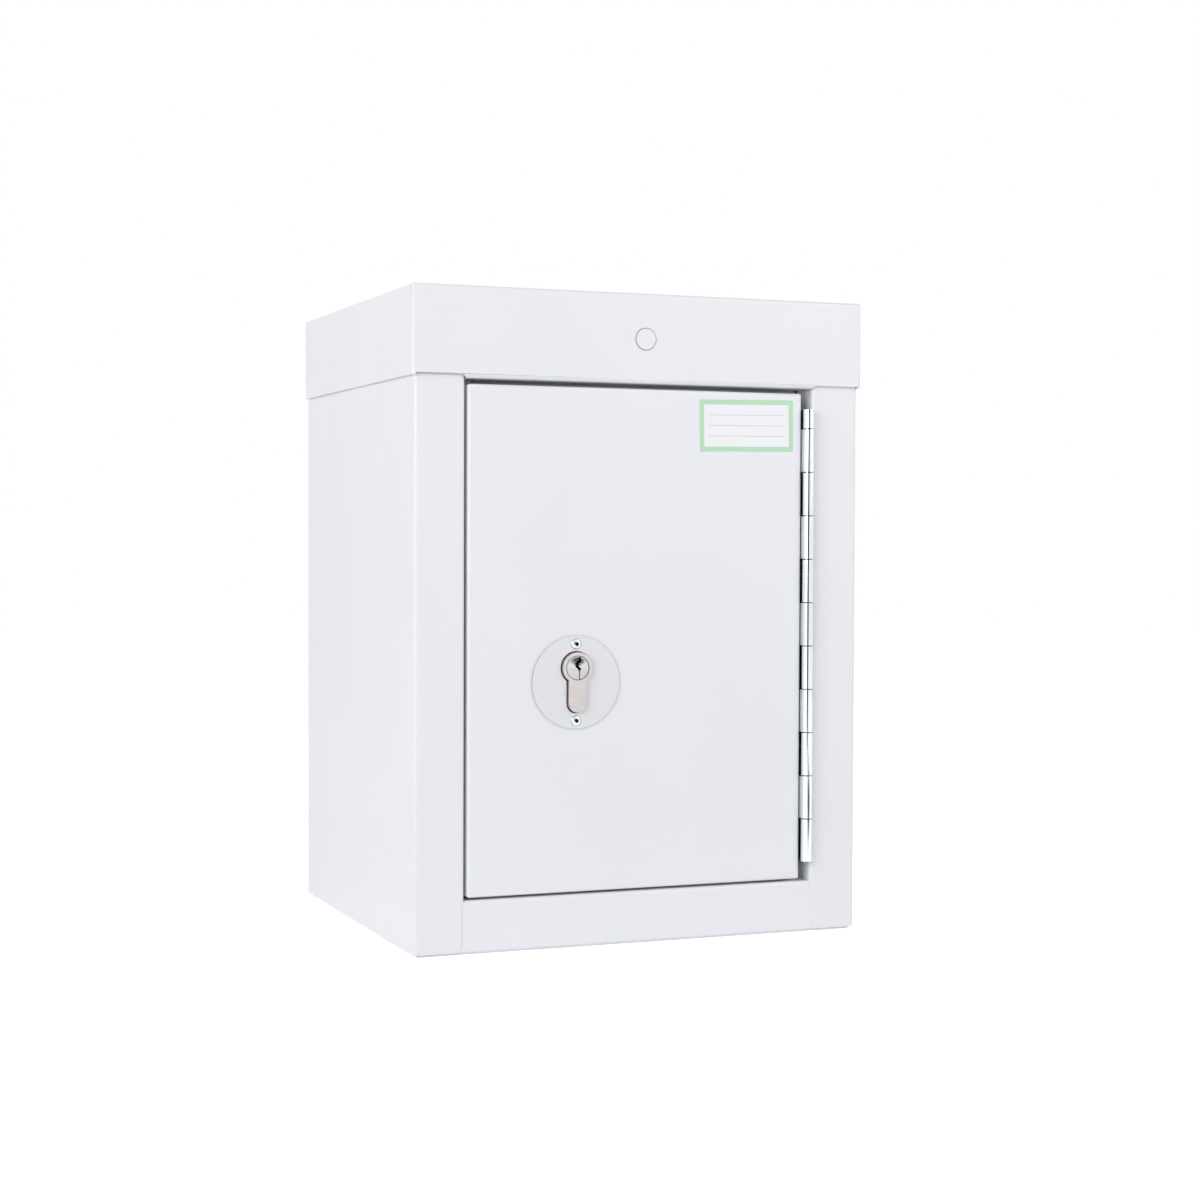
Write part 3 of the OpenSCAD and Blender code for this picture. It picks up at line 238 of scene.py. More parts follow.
def powder_coat(name, colour, peel, mark_or_shade=None, where=None):
    """White polyester powder coat: satin, faintly rippled like orange peel, and a touch uneven in
    tone, so that broad highlights on the folds break up a little. A mark or painted shade goes
    where a function of the tree and its coordinates says"""
    material, tree, place = new_material(name)
    ripple = add(tree, "ShaderNodeTexNoise",
                 {"Vector": place, "Scale": 1 / peel, "Detail": 2.0, "Roughness": 0.45})
    # Fine grit of the cured powder, drawn at 0.4 mm so that it still shows
    grit = add(tree, "ShaderNodeTexNoise",
               {"Vector": place, "Scale": 1 / (0.4 * MM), "Detail": 1.0})
    relief = add(tree, "ShaderNodeMath",
                 {0: ripple.outputs["Fac"], 1: grit.outputs["Fac"], 2: 0.0}, operation="ADD")
    bump = add(tree, "ShaderNodeBump",
               {"Height": relief.outputs[0], "Strength": 0.12, "Distance": 0.03 * MM})
    # Cloudy tone over a hand's breadth, from the thickness of the coat
    cloud = add(tree, "ShaderNodeTexNoise",
                {"Vector": place, "Scale": 1 / (70 * MM), "Detail": 1.0})
    base = linear(colour)
    tone = add(tree, "ShaderNodeMix",
               {"Factor": cloud.outputs["Fac"], COLOUR_A: scaled(base, 0.975),
                COLOUR_B: scaled(base, 1.015)}, data_type="RGBA")
    gloss = add(tree, "ShaderNodeMapRange",
                {"Value": grit.outputs["Fac"], "To Min": 0.26, "To Max": 0.34})
    surface = tone.outputs[COLOUR_OUT]
    if mark_or_shade:
        surface = with_mark_or_shade(tree, surface, mark_or_shade, where(tree, place))
    shader = add(tree, "ShaderNodeBsdfPrincipled",
                 {"Base Color": surface, "Roughness": gloss.outputs[0],
                  "Normal": bump.outputs[0], "IOR": 1.5})
    close_material(tree, shader.outputs[0])
    return material


def plated_metal(name, colour, roughness, streak, depth, mark_or_shade=None, where=None):
    """Bright metal: streak gives the length of its polishing or rolling marks along X, Y and Z in
    millimetres, which draws the highlights out along the longest. A mark or painted shade goes
    where a function of the tree and its coordinates says"""
    material, tree, place = new_material(name)
    squeezed = add(tree, "ShaderNodeMapping",
                   {"Vector": place, "Scale": [1 / (s * MM) for s in streak]})
    grain = add(tree, "ShaderNodeTexNoise",
                {"Vector": squeezed.outputs[0], "Scale": 1.0, "Detail": 3.0, "Roughness": 0.6})
    # Slow change of tone, as thin plating has
    cloud = add(tree, "ShaderNodeTexNoise", {"Vector": place, "Scale": 1 / (9 * MM), "Detail": 2.0})
    base = linear(colour)
    tone = add(tree, "ShaderNodeMix",
               {"Factor": cloud.outputs["Fac"], COLOUR_A: scaled(base, 0.88), COLOUR_B: base},
               data_type="RGBA")
    gloss = add(tree, "ShaderNodeMapRange",
                {"Value": grain.outputs["Fac"], "From Min": 0.3, "From Max": 0.7,
                 "To Min": roughness * 0.8, "To Max": roughness * 1.3})
    bump = add(tree, "ShaderNodeBump",
               {"Height": grain.outputs["Fac"], "Strength": depth, "Distance": 0.02 * MM})
    surface = tone.outputs[COLOUR_OUT]
    if mark_or_shade:
        surface = with_mark_or_shade(tree, surface, mark_or_shade, where(tree, place))
    shader = add(tree, "ShaderNodeBsdfPrincipled",
                 {"Base Color": surface, "Metallic": 1.0, "Roughness": gloss.outputs[0],
                  "Normal": bump.outputs[0]})
    close_material(tree, shader.outputs[0])
    return material


def select_only(piece):
    """Make one object the only selected one, and the active one"""
    bpy.ops.object.select_all(action="DESELECT")
    piece.select_set(True)
    bpy.context.view_layer.objects.active = piece


def edit(piece, *steps, faces=None):
    """Run edit-mode steps on one piece, with all of it selected first, or the faces that a test on
    a face picks"""
    select_only(piece)
    bpy.ops.object.mode_set(mode="EDIT")
    bpy.ops.mesh.select_mode(type="FACE")
    bpy.ops.mesh.select_all(action="DESELECT" if faces else "SELECT")
    if faces:
        bpy.ops.object.mode_set(mode="OBJECT")
        for face in piece.data.polygons:
            face.select = faces(face)
        bpy.ops.object.mode_set(mode="EDIT")
    for step in steps:
        step()
    bpy.ops.object.mode_set(mode="OBJECT")


def apply_modifier(piece, kind, **settings):
    """Add a modifier with its settings and apply it"""
    select_only(piece)
    modifier = piece.modifiers.new(kind.title(), kind)
    for name, value in settings.items():
        setattr(modifier, name, value)
    bpy.ops.object.modifier_apply(modifier=modifier.name)


def smooth(piece, angle=40):
    """Shade smooth up to an angle in degrees, with flat faces kept flat"""
    select_only(piece)
    bpy.ops.object.shade_smooth_by_angle(angle=math.radians(angle))
    apply_modifier(piece, "WEIGHTED_NORMAL", keep_sharp=True, weight=80)


def finish_piece(piece, body, slot, *materials):
    """Give a new piece its finish and hang it on its body"""
    piece.data.materials.clear()
    for material in materials:
        piece.data.materials.append(material)
    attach(piece, body)


def mark_edges(piece, shortest):
    """Weigh the sharp edges for the bevel. Edges below the shortest length stay as they are,
    because a bevel wider than they are would fold over itself, and so do two that leave one corner
    almost side by side, because it would throw their corner far off"""
    mesh = bmesh.new()
    mesh.from_mesh(piece.data)
    weight = mesh.edges.layers.float.new("bevel_weight_edge")
    sharp = {edge for edge in mesh.edges if edge.calc_face_angle(0) > SHARP_ANGLE}
    for edge in sharp:
        edge[weight] = float(edge.calc_length() > shortest)
    for corner in mesh.verts:
        ways = [(edge, edge.other_vert(corner).co - corner.co)
                for edge in corner.link_edges if edge in sharp]
        for (one, way), (other, other_way) in itertools.combinations(ways, 2):
            if way.angle(other_way) < NARROW_ANGLE:
                one[weight] = other[weight] = 0.0
    mesh.to_mesh(piece.data)
    mesh.free()


def eased(name, radius, slot, material, shortest=0, flat=0.5, soft=40):
    """A merged copy of a CAD piece whose sharp edges are rounded to a radius in millimetres, or
    stay sharp at 0 or where they are shorter than a number of radii. Faces that differ by less
    than the flat angle in degrees become one, and by less than the soft angle shade smooth"""
    source = frame["nodes"][name]
    select_only(source)
    bpy.ops.object.duplicate()
    piece = bpy.context.view_layer.objects.active
    piece.name = piece.data.name = name + "_eased"
    del piece["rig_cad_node"]
    bpy.ops.mesh.customdata_custom_splitnormals_clear()
    edit(piece,
         lambda: bpy.ops.mesh.remove_doubles(threshold=1e-6),
         lambda: bpy.ops.mesh.dissolve_limited(angle_limit=math.radians(flat)))
    if radius:
        mark_edges(piece, shortest * radius * MM)
        apply_modifier(piece, "BEVEL", width=radius * MM, segments=2, limit_method="WEIGHT",
                       use_clamp_overlap=False, miter_outer="MITER_ARC")
        # A mitred corner can rise past the sheet, so each point is kept within the CAD piece's box
        low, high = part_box(name)
        for vertex in piece.data.vertices:
            vertex.co = [min(max(way, least), most)
                         for way, least, most in zip(vertex.co, low, high)]
    smooth(piece, soft)
    finish_piece(piece, source["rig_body"], slot, material)
    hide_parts(name)
    return piece


def dress(group, slot, material):
    """Give each CAD piece of a group its finish, with eased edges where it has a radius"""
    for name, radius in group.items():
        if radius:
            eased(name, radius, slot, material, SHORTEST)
        else:
            source = frame["nodes"][name]
            source.data.materials.clear()
            source.data.materials.append(material)


class CABINET_OT_stage(Operator):
    """Set the camera at the photograph's angle, the soft light and the pale floor"""
    bl_idname = "cabinet.stage"
    bl_label = "Stage"

    def execute(self, context):
        stage = context.scene.cabinet_stage
        camera = bpy.data.objects.new("Camera", bpy.data.cameras.new("Camera"))
        camera.data.lens = stage.lens
        camera.matrix_world = (
            Matrix.Translation(stage.camera_place) @ Matrix.Rotation(-stage.yaw, 4, "Z")
            @ Matrix.Rotation(math.pi / 2 + stage.pitch, 4, "X")
            @ Matrix.Rotation(stage.roll, 4, "Z"))
        context.scene.collection.objects.link(camera)
        context.scene.camera = camera
        context.scene.view_settings.view_transform = "Standard"

        # The lamp between front and side draws the bright line down each upright fold
        self.lamp(context, "Key lamp", stage.key, (1.6, 1.5), (-2.1, -1.5, 0.9))
        self.lamp(context, "Fill lamp", stage.fill, (0.7, 1.4), (1.1, -1.25, 0.95))
        self.world(context)
        self.floor()
        self.card("Camera card", (0.5, 0.75), (-0.28, -1.15, 0.375), (math.pi / 2, 0, -0.35))
        self.card("Floor card", (0.42, 0.5), (0.25, -0.76, 0.002), (0, 0, -0.35))
        return {"FINISHED"}

    def lamp(self, context, name, power, size, place):
        """Soft lamp that faces the middle of the cabinet"""
        lamp = bpy.data.objects.new(name, bpy.data.lights.new(name, "AREA"))
        lamp.data.energy = power
        lamp.data.shape = "RECTANGLE"
        lamp.data.size, lamp.data.size_y = size
        lamp.location = place
        target = Vector((0, 0, 0.18)) - lamp.location
        lamp.rotation_euler = target.to_track_quat("-Z", "Y").to_euler()
        context.scene.collection.objects.link(lamp)

    def world(self, context):
        """Soft light that fades towards the ceiling, and plain white for the camera and for what it
        sees in metal"""
        world = bpy.data.worlds.new("Soft studio")
        context.scene.world = world
        world.use_nodes = True
        tree = world.node_tree
        tree.nodes.clear()
        stage = context.scene.cabinet_stage
        way = add(tree, "ShaderNodeTexCoord").outputs["Generated"]
        rise = add(tree, "ShaderNodeSeparateXYZ", {0: way})
        soft = add(tree, "ShaderNodeMapRange",
                   {"Value": rise.outputs["Z"], "From Min": 0.1, "From Max": 0.8,
                    "To Min": stage.sky, "To Max": stage.ceiling})
        strength = add(tree, "ShaderNodeMix",
                       {"Factor": self.seen(tree), VALUE_A: soft.outputs[0], VALUE_B: 1.0})
        sky = add(tree, "ShaderNodeBackground",
                  {"Color": linear("#ffffff"), "Strength": strength.outputs[0]})
        add(tree, "ShaderNodeOutputWorld", {"Surface": sky.outputs[0]})

    def seen(self, tree):
        """1 for what the camera sees, directly or in metal or glass, else 0"""
        ray = add(tree, "ShaderNodeLightPath")
        shiny = add(tree, "ShaderNodeMath",
                    {0: ray.outputs["Is Glossy Ray"], 1: ray.outputs["Is Transmission Ray"]},
                    operation="MAXIMUM")
        return add(tree, "ShaderNodeMath",
                   {0: ray.outputs["Is Camera Ray"], 1: shiny.outputs[0]},
                   operation="MAXIMUM").outputs[0]

    def card(self, name, size, place, turn):
        """Dark card that shows only in shiny surfaces, where it draws the edges of bright metal"""
        bpy.ops.object.select_all(action="DESELECT")
        bpy.ops.mesh.primitive_plane_add(size=1, location=place, rotation=turn)
        card = bpy.context.view_layer.objects.active
        card.name = card.data.name = name
        card.scale = (*size, 1)
        bpy.ops.object.transform_apply(location=True, rotation=True, scale=True)
        card.visible_camera = card.visible_diffuse = card.visible_shadow = False
        material, tree, _ = new_material("Dark felt")
        close_material(tree, add(tree, "ShaderNodeEmission",
                                 {"Color": linear("#1f3346"), "Strength": 1.0}).outputs[0])
        card.data.materials.append(material)

    def floor(self):
        """Pale floor whose lit part meets the white background, and which keeps the shadow"""
        bpy.ops.object.select_all(action="DESELECT")
        bpy.ops.mesh.primitive_circle_add(
            vertices=96, radius=4, fill_type="NGON", location=(0, 0, -0.2 * MM))
        floor = bpy.context.view_layer.objects.active
        floor.name = floor.data.name = "Floor"
        bpy.ops.object.transform_apply(location=True)
        material, tree, _ = new_material("Pale card floor")
        matt = add(tree, "ShaderNodeBsdfDiffuse", {"Color": linear("#f2f4f7")})
        glow = add(tree, "ShaderNodeEmission", {"Color": linear("#ffffff"), "Strength": 0.55})
        both = add(tree, "ShaderNodeAddShader", {0: matt.outputs[0], 1: glow.outputs[0]})
        mix = add(tree, "ShaderNodeMixShader",
                  {0: self.seen(tree), 1: matt.outputs[0], 2: both.outputs[0]})
        close_material(tree, mix.outputs[0])
        floor.data.materials.append(material)


class CABINET_OT_painted_sheets(Operator):
    """Powder coat on the folded body, the shelf and the door"""
    bl_idname = "cabinet.painted_sheets"
    bl_label = "Painted sheets"

    def execute(self, context):
        finishes = context.scene.cabinet_finishes
        dress(PAINTED, "paint", powder_coat("Powder coat", finishes.paint, finishes.peel))
        return {"FINISHED"}


class CABINET_OT_top_cap(Operator):
    """Powder coat on the wrap-over cap, with faint handling marks on its left side"""
    bl_idname = "cabinet.top_cap"
    bl_label = "Top cap"

    def execute(self, context):
        finishes = context.scene.cabinet_finishes
        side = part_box("top_cap")[0].x
        faint = 0.5

        def scratched(tree, place):
            """Share that marks the scratches, each by its distance from a straight line"""
            # Only the outermost skin of the left side takes them
            skin = add(tree, "ShaderNodeSeparateXYZ", {0: place})
            share = add(tree, "ShaderNodeMapRange",
                        {"Value": skin.outputs["X"], "From Min": side + 0.2 * MM,
                         "From Max": side + 0.3 * MM, "To Min": faint, "To Max": 0.0}).outputs[0]
            flat = add(tree, "ShaderNodeVectorMath", {0: place, 1: (0, 1, 1)}, operation="MULTIPLY")
            clear = 1.0
            for start, end in CAP_MARKS:
                start, end = Vector((0, *start)) * MM, Vector((0, *end)) * MM
                run = end - start
                off = add(tree, "ShaderNodeVectorMath", {0: flat.outputs[0], 1: start},
                          operation="SUBTRACT")
                along = add(tree, "ShaderNodeVectorMath",
                            {0: off.outputs[0], 1: run / run.length_squared},
                            operation="DOT_PRODUCT")
                kept = add(tree, "ShaderNodeMath", {0: along.outputs["Value"], 1: 0.0},
                           operation="ADD", use_clamp=True)
                foot = add(tree, "ShaderNodeVectorMath", {0: run, "Scale": kept.outputs[0]},
                           operation="SCALE")
                away = add(tree, "ShaderNodeVectorMath", {0: off.outputs[0], 1: foot.outputs[0]},
                           operation="DISTANCE")
                beside = add(tree, "ShaderNodeMapRange",
                             {"Value": away.outputs["Value"], "From Min": 0.1 * MM,
                              "From Max": 0.4 * MM})
                clear = add(tree, "ShaderNodeMath", {0: clear, 1: beside.outputs[0]},
                            operation="MULTIPLY").outputs[0]
            scored = add(tree, "ShaderNodeMath", {0: 1.0, 1: clear}, operation="SUBTRACT")
            return add(tree, "ShaderNodeMath", {0: scored.outputs[0], 1: share},
                       operation="MULTIPLY").outputs[0]

        eased("top_cap", 0.3, "paint",
              powder_coat("Powder coat with handling marks", finishes.paint, finishes.peel,
                          "#b9bdc6", scratched), SHORTEST)
        return {"FINISHED"}


class CABINET_OT_blanking_plug(Operator):
    """The powder-coated plug in the header, with painted shade in the joint round its rim"""
    bl_idname = "cabinet.blanking_plug"
    bl_label = "Blanking plug"

    def execute(self, context):
        finishes = context.scene.cabinet_finishes
        low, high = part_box("blanking_plug")
        radius = (high.x - low.x) / 2 / MM
        # A grey ring of painted shade marks the joint round the plug's rim
        coat = powder_coat(
            "Powder coat with painted joint shade", finishes.paint, finishes.peel, "#85898f",
            lambda tree, place: ring(tree, place, (low + high) / 2, radius - 0.55, radius - 0.35))
        eased("blanking_plug", 0.04, "paint", coat)
        return {"FINISHED"}


class CABINET_OT_plated_parts(Operator):
    """Zinc on the keep, the lock case and the fasteners"""
    bl_idname = "cabinet.plated_parts"
    bl_label = "Plated parts"

    def execute(self, context):
        # Zinc plating over rolled sheet: bluish grey, satin, with faint marks up and down
        zinc = plated_metal("Satin zinc plating", context.scene.cabinet_finishes.case,
                            0.24, (0.5, 0.5, 6), 0.12)
        dress(PLATED, "zinc", zinc)
        return {"FINISHED"}


class CABINET_OT_hinge(Operator):
    """Zinc on the continuous hinge, a dark brown pin, and painted shade in its gap and joints"""
    bl_idname = "cabinet.hinge"
    bl_label = "Hinge"

    def execute(self, context):
        door_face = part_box("door_skin")[0].y
        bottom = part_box("hinge_pin")[0].z
        # Places behind the door's face where the painted shade is full, where it starts to fade,
        # and where only the last of it is left
        full, fading, shade_gone = (door_face + depth * MM for depth in (1.5, 3, 7))
        last = 0.12

        def painted_gap_shade(tree, place):
            """Share of painted shade that grows from the door's face into the gap and fades again
            on the leaves, and that darkens each knuckle joint"""
            way = add(tree, "ShaderNodeSeparateXYZ", {0: place})
            dark = add(tree, "ShaderNodeMapRange",
                       {"Value": way.outputs["Y"], "From Min": door_face, "From Max": full})
            shade_fade = add(tree, "ShaderNodeMapRange",
                        {"Value": way.outputs["Y"], "From Min": fading, "From Max": shade_gone,
                         "To Min": 1.0, "To Max": last})
            depth = add(tree, "ShaderNodeMath",
                        {0: dark.outputs[0], 1: shade_fade.outputs[0]}, operation="MULTIPLY")
            rise = add(tree, "ShaderNodeMath",
                       {0: way.outputs["Z"], 1: bottom - JOINT_HALF * MM}, operation="SUBTRACT")
            row = add(tree, "ShaderNodeMath",
                      {0: rise.outputs[0], 1: KNUCKLE_PITCH / 2 * MM, 2: -KNUCKLE_PITCH / 2 * MM},
                      operation="WRAP")
            off = add(tree, "ShaderNodeMath", {0: row.outputs[0]}, operation="ABSOLUTE")
            joint = add(tree, "ShaderNodeMapRange",
                        {"Value": off.outputs[0], "From Min": JOINT_HALF * MM,
                         "From Max": (JOINT_HALF + 0.15) * MM, "To Min": 1.0, "To Max": 0.0})
            return add(tree, "ShaderNodeMath",
                       {0: depth.outputs[0], 1: joint.outputs[0]}, operation="MAXIMUM").outputs[0]

        # Bright zinc, bluish and shiny, with painted shade in the gap and at the knuckle joints
        zinc = plated_metal("Bright zinc on the hinge with painted shade", context.scene.cabinet_finishes.zinc,
                            0.1, (0.5, 0.5, 6), 0.08, "#454a4d", painted_gap_shade)
        for leaf in ("hinge_frame_leaf", "hinge_door_leaf"):
            eased(leaf, 0.12, "zinc", zinc)
        # Drawn steel, dark brown and dull, which paints the shade seen through the knuckle joints
        dark_pin = plated_metal("Dark steel pin for painted joint shade", "#3b2c22", 0.5, (0.3, 0.3, 4), 0.2)
        eased("hinge_pin", 0.3, "steel", dark_pin)
        return {"FINISHED"}


class CABINET_OT_lock_parts(Operator):
    """Nickel, ground steel and brass on the cylinder, the bolt and their small parts"""
    bl_idname = "cabinet.lock_parts"
    bl_label = "Lock parts"

    def execute(self, context):
        finishes = context.scene.cabinet_finishes
        # Satin nickel over brass: warm grey and softly brushed across the face
        nickel = plated_metal("Satin nickel", finishes.nickel, 0.28, (3, 3, 0.3), 0.15)
        eased("cylinder_body", 0.2, "nickel", nickel, SHORTEST)
        # Polished nickel, with a dark brown ring of painted shade in the joint round the plug
        low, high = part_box("cylinder_plug")
        middle = Vector(((low.x + high.x) / 2, 0, high.z - PLUG_RADIUS * MM))
        polished = plated_metal(
            "Polished nickel", finishes.plug, 0.14, (2, 2, 0.4), 0.15, "#43342c",
            lambda tree, place: ring(tree, place, middle, PLUG_RADIUS - 0.5, PLUG_RADIUS - 0.25))
        # The dish is so shallow that small angles already matter to what it mirrors
        eased("cylinder_plug", 0, "nickel", polished, flat=0.02, soft=3)
        # Ground steel: grey, with straight marks along the bolt's travel
        steel = plated_metal("Ground steel", finishes.steel, 0.32, (8, 0.3, 0.3), 0.25)
        dress(GROUND, "steel", steel)
        # Turned brass: yellow, with fine rings round each pin
        brass = plated_metal("Turned brass", finishes.brass, 0.25, (3, 3, 0.2), 0.2)
        dress(TURNED, "brass", brass)
        return {"FINISHED"}


class CABINET_OT_lock_plate(Operator):
    """Off-white enamel on the round plate, and zinc with painted shade on its two rivets"""
    bl_idname = "cabinet.lock_plate"
    bl_label = "Lock plate"

    def execute(self, context):
        finishes = context.scene.cabinet_finishes
        low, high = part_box("lock_plate")
        radius = (high.x - low.x) / 2 / MM
        middle = (low + high) / 2
        # The enamel turns grey in a thin ring at the plate's very rim
        enamel = powder_coat(
            "Off-white enamel with a dark rim", finishes.plate, finishes.peel, "#7c7d82",
            lambda tree, place: ring(tree, place, middle, radius - 0.03, radius - 0.012))
        eased("lock_plate", 0.25, "plate", enamel)

        low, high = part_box("plate_rivets")
        head = (high.x - low.x) / 2
        seats = [Vector((middle.x, 0, z)) for z in (low.z + head, high.z - head)]

        def painted_rivet_shade(tree, place):
            """Share of painted shade at each rivet's rim on the plate and in its hollow"""
            marks = []
            for seat in seats:
                marks.append(ring(tree, place, seat, head / MM - 0.45, head / MM - 0.1))
            rim = add(tree, "ShaderNodeMath", {0: marks[0], 1: marks[1]}, operation="MINIMUM")
            marks = [ring(tree, place, seat, 1.0, 1.25) for seat in seats]
            hollow = add(tree, "ShaderNodeMath", {0: marks[0], 1: marks[1]}, operation="MULTIPLY")
            hollow = add(tree, "ShaderNodeMath", {0: 1.0, 1: hollow.outputs[0]},
                         operation="SUBTRACT")
            return add(tree, "ShaderNodeMath",
                       {0: rim.outputs[0], 1: hollow.outputs[0]}, operation="MAXIMUM").outputs[0]

        # Blue zinc plating, with painted shade in the hollow and where the rim meets the plate
        zinc = plated_metal("Blue zinc on the rivets with painted shade", "#dcecf6", 0.2, (0.5, 0.5, 0.5), 0.1,
                            "#3f5568", painted_rivet_shade)
        eased("plate_rivets", 0.12, "zinc", zinc)
        return {"FINISHED"}


class CABINET_OT_label_sticker(Operator):
    """Blank write-on sticker with a printed border, in place of the CAD label"""
    bl_idname = "cabinet.label_sticker"
    bl_label = "Label sticker"

    def execute(self, context):
        label = context.scene.cabinet_label
        low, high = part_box("door_label")
        middle = (low + high) / 2
        # How far the film's face stands over its cut edge, which slopes a little
        rise = 0.04 * MM
        bpy.ops.object.select_all(action="DESELECT")
        bpy.ops.mesh.primitive_plane_add(size=1)
        piece = bpy.context.view_layer.objects.active
        piece.name = piece.data.name = "label_sticker"
        piece.scale = (label.width, label.height, 1)
        bpy.ops.object.transform_apply(scale=True)
        # Corners cut round, then the sloping edge, then the film's body
        edit(piece,
             lambda: bpy.ops.mesh.bevel(offset=0.8 * MM, segments=5, affect="VERTICES"),
             lambda: bpy.ops.mesh.inset(thickness=0.1 * MM, depth=rise))
        apply_modifier(piece, "SOLIDIFY", thickness=high.y - low.y - rise, offset=-1)
        piece.rotation_euler = (math.pi / 2, -label.turn, 0)
        piece.location = (middle.x, low.y + rise, middle.z)
        select_only(piece)
        bpy.ops.object.transform_apply(location=True, rotation=True)
        smooth(piece, 30)
        finish_piece(piece, "door", "label", self.printed_film(label, middle))
        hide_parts("door_label")
        return {"FINISHED"}

    def printed_film(self, label, middle):
        """Printed vinyl under a clear satin film: flat colours, and an even soft shine over them"""
        material, tree, place = new_material("Printed vinyl film")
        flat = add(tree, "ShaderNodeMapping",
                   {"Vector": place, "Location": middle, "Rotation": (0, -label.turn, 0)},
                   vector_type="TEXTURE")
        across = add(tree, "ShaderNodeSeparateXYZ", {0: flat.outputs[0]})

        def within(socket, limit):
            """1 where a coordinate lies nearer the middle than a limit, with a soft printed edge"""
            size = add(tree, "ShaderNodeMath", {0: socket}, operation="ABSOLUTE")
            return add(tree, "ShaderNodeMapRange",
                       {"Value": size.outputs[0], "From Min": limit - 0.06 * MM,
                        "From Max": limit + 0.06 * MM, "To Min": 1.0, "To Max": 0.0}).outputs[0]

        def both(one, other):
            return add(tree, "ShaderNodeMath", {0: one, 1: other}, operation="MULTIPLY").outputs[0]

        field = both(within(across.outputs["X"], label.width / 2 - label.border),
                     within(across.outputs["Z"], label.height / 2 - label.border))
        # Three rules to write on, one third of the field apart
        pitch = (label.height - 2 * label.border) / 4
        row = add(tree, "ShaderNodeMath",
                  {0: across.outputs["Z"], 1: pitch / 2, 2: -pitch / 2}, operation="WRAP")
        rule = both(within(row.outputs[0], 0.14 * MM),
                    within(across.outputs["X"], label.width / 2 - 2 * label.border))
        inside = both(rule, within(across.outputs["Z"], 1.5 * pitch))
        paper = add(tree, "ShaderNodeMix",
                    {"Factor": field, COLOUR_A: linear(label.green),
                     COLOUR_B: linear(label.white)}, data_type="RGBA").outputs[COLOUR_OUT]
        printed = with_mark_or_shade(tree, paper, label.grey, inside)
        # Faint waves where the film didn't lie quite flat
        wave = add(tree, "ShaderNodeTexNoise", {"Vector": place, "Scale": 1 / (12 * MM)})
        bump = add(tree, "ShaderNodeBump",
                   {"Height": wave.outputs["Fac"], "Strength": 0.15, "Distance": 0.3 * MM})
        shader = add(tree, "ShaderNodeBsdfPrincipled",
                     {"Base Color": printed, "Roughness": 0.3, "Coat Weight": 0.25,
                      "Coat Roughness": 0.15, "Normal": bump.outputs[0]})
        close_material(tree, shader.outputs[0])
        return material


class CABINET_OT_rivet_stems(Operator):
    """Broken stems left deep in the hollow rivets of the round plate"""
    bl_idname = "cabinet.rivet_stems"
    bl_label = "Rivet stems"

    def execute(self, context):
        low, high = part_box("plate_rivets")
        middle = (low + high) / 2
        radius, length = 0.95 * MM, 1.1 * MM
        # How far the stem's inner end lies behind the rivets' faces
        depth = 2.4 * MM
        bpy.ops.object.select_all(action="DESELECT")
        bpy.ops.mesh.primitive_cylinder_add(vertices=24, radius=radius, depth=length)
        piece = bpy.context.view_layer.objects.active
        piece.name = piece.data.name = "rivet_stems"
        piece.rotation_euler.x = math.pi / 2
        bpy.ops.object.transform_apply(rotation=True)
        # The stem snaps in tension, which leaves a small raised nib inside a sloping rim
        edit(piece,
             lambda: bpy.ops.mesh.inset(thickness=0.35 * MM, depth=0.12 * MM),
             lambda: bpy.ops.mesh.inset(thickness=0.2 * MM, depth=0.3 * MM),
             faces=lambda face: face.normal.y < -0.9)
        head = (high.x - low.x) / 2
        stem_y = low.y + depth - length / 2
        places = [low.z + head, high.z - head]
        copies = [piece]
        select_only(piece)
        bpy.ops.object.duplicate()
        copies.append(bpy.context.view_layer.objects.active)
        for stem, z in zip(copies, places):
            stem.location = (middle.x, stem_y, z)
            select_only(stem)
            bpy.ops.object.transform_apply(location=True)
        select_only(piece)
        copies[1].select_set(True)
        bpy.ops.object.join()
        smooth(piece, 35)
        # Snapped steel: dark grey and rough
        steel = plated_metal("Snapped steel stem", "#3a3f45", 0.5, (0.3, 0.3, 0.3), 0.5)
        finish_piece(piece, "door", "steel", steel)
        return {"FINISHED"}


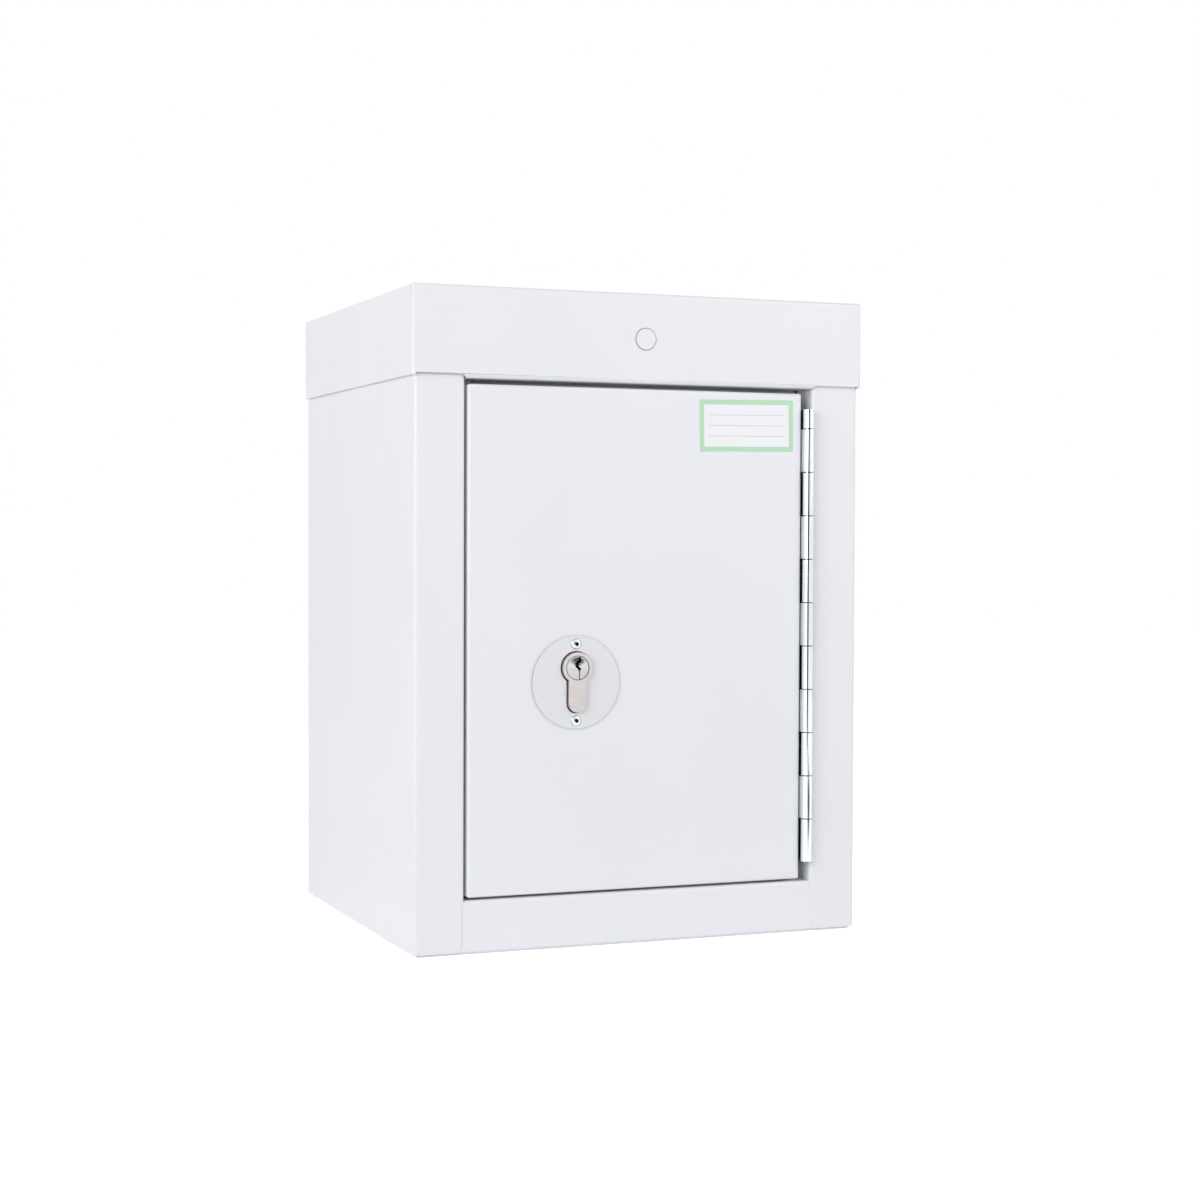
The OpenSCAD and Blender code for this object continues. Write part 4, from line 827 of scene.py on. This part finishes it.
class CABINET_OT_pin_coils(Operator):
    """Coiled springs under the driver pins, in place of the plain CAD tubes"""
    bl_idname = "cabinet.pin_coils"
    bl_label = "Pin coils"

    def execute(self, context):
        low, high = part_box("pin_springs")
        pins = 5
        wire = 0.2 * MM
        outer = (high.x - low.x) / 2
        pitch = (high.y - low.y - 2 * outer) / (pins - 1)
        turns = 7
        rise = (high.z - low.z - 2 * wire) / turns
        bpy.ops.object.select_all(action="DESELECT")
        bpy.ops.mesh.primitive_circle_add(vertices=8, radius=wire, fill_type="NOTHING")
        piece = bpy.context.view_layer.objects.active
        piece.name = piece.data.name = "pin_coils"
        piece.rotation_euler.x = math.pi / 2
        piece.location = (outer - wire, 0, wire)
        bpy.ops.object.transform_apply(location=True, rotation=True)
        apply_modifier(piece, "SCREW", axis="Z", angle=2 * math.pi, iterations=turns,
                       screw_offset=rise, steps=20, render_steps=20, use_merge_vertices=True)
        edit(piece,
             lambda: bpy.ops.mesh.remove_doubles(threshold=1e-6),
             lambda: bpy.ops.mesh.fill_holes(sides=0),
             lambda: bpy.ops.mesh.normals_make_consistent(inside=False))
        copies = [piece]
        for _ in range(pins - 1):
            select_only(piece)
            bpy.ops.object.duplicate()
            copies.append(bpy.context.view_layer.objects.active)
        for i, coil in enumerate(copies):
            coil.location = ((low.x + high.x) / 2, low.y + outer + i * pitch, low.z)
            select_only(coil)
            bpy.ops.object.transform_apply(location=True)
        for coil in copies:
            coil.select_set(True)
        bpy.context.view_layer.objects.active = piece
        bpy.ops.object.join()
        smooth(piece)
        # Phosphor bronze wire: brown and bright
        bronze = plated_metal("Phosphor bronze wire", "#b98d63", 0.3, (0.3, 0.3, 0.3), 0.1)
        finish_piece(piece, "door", "steel", bronze)
        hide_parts("pin_springs")
        return {"FINISHED"}


class CABINET_PT_sidebar(Panel):
    """Steps that dress the cabinet"""
    bl_label = "Medicine cabinet"
    bl_idname = "CABINET_PT_sidebar"
    bl_space_type = "VIEW_3D"
    bl_region_type = "UI"
    bl_category = "Cabinet"

    def draw(self, context):
        for step in STEPS:
            self.layout.operator(step.bl_idname)


STEPS = (CABINET_OT_stage, CABINET_OT_painted_sheets, CABINET_OT_top_cap,
         CABINET_OT_blanking_plug, CABINET_OT_plated_parts, CABINET_OT_hinge,
         CABINET_OT_lock_parts, CABINET_OT_lock_plate, CABINET_OT_label_sticker,
         CABINET_OT_rivet_stems, CABINET_OT_pin_coils)
GROUPS = {"cabinet_finishes": CabinetFinishes, "cabinet_label": CabinetLabel,
          "cabinet_stage": CabinetStage}


def register():
    for name, group in GROUPS.items():
        bpy.utils.register_class(group)
        setattr(bpy.types.Scene, name, PointerProperty(type=group))
    for step in (*STEPS, CABINET_PT_sidebar):
        bpy.utils.register_class(step)


def unregister():
    for step in (*STEPS, CABINET_PT_sidebar):
        bpy.utils.unregister_class(step)
    for name, group in GROUPS.items():
        delattr(bpy.types.Scene, name)
        bpy.utils.unregister_class(group)


def main():
    register()
    for step in STEPS:
        area, name = step.bl_idname.split(".")
        getattr(getattr(bpy.ops, area), name)()


if __name__ == "__main__":
    main()
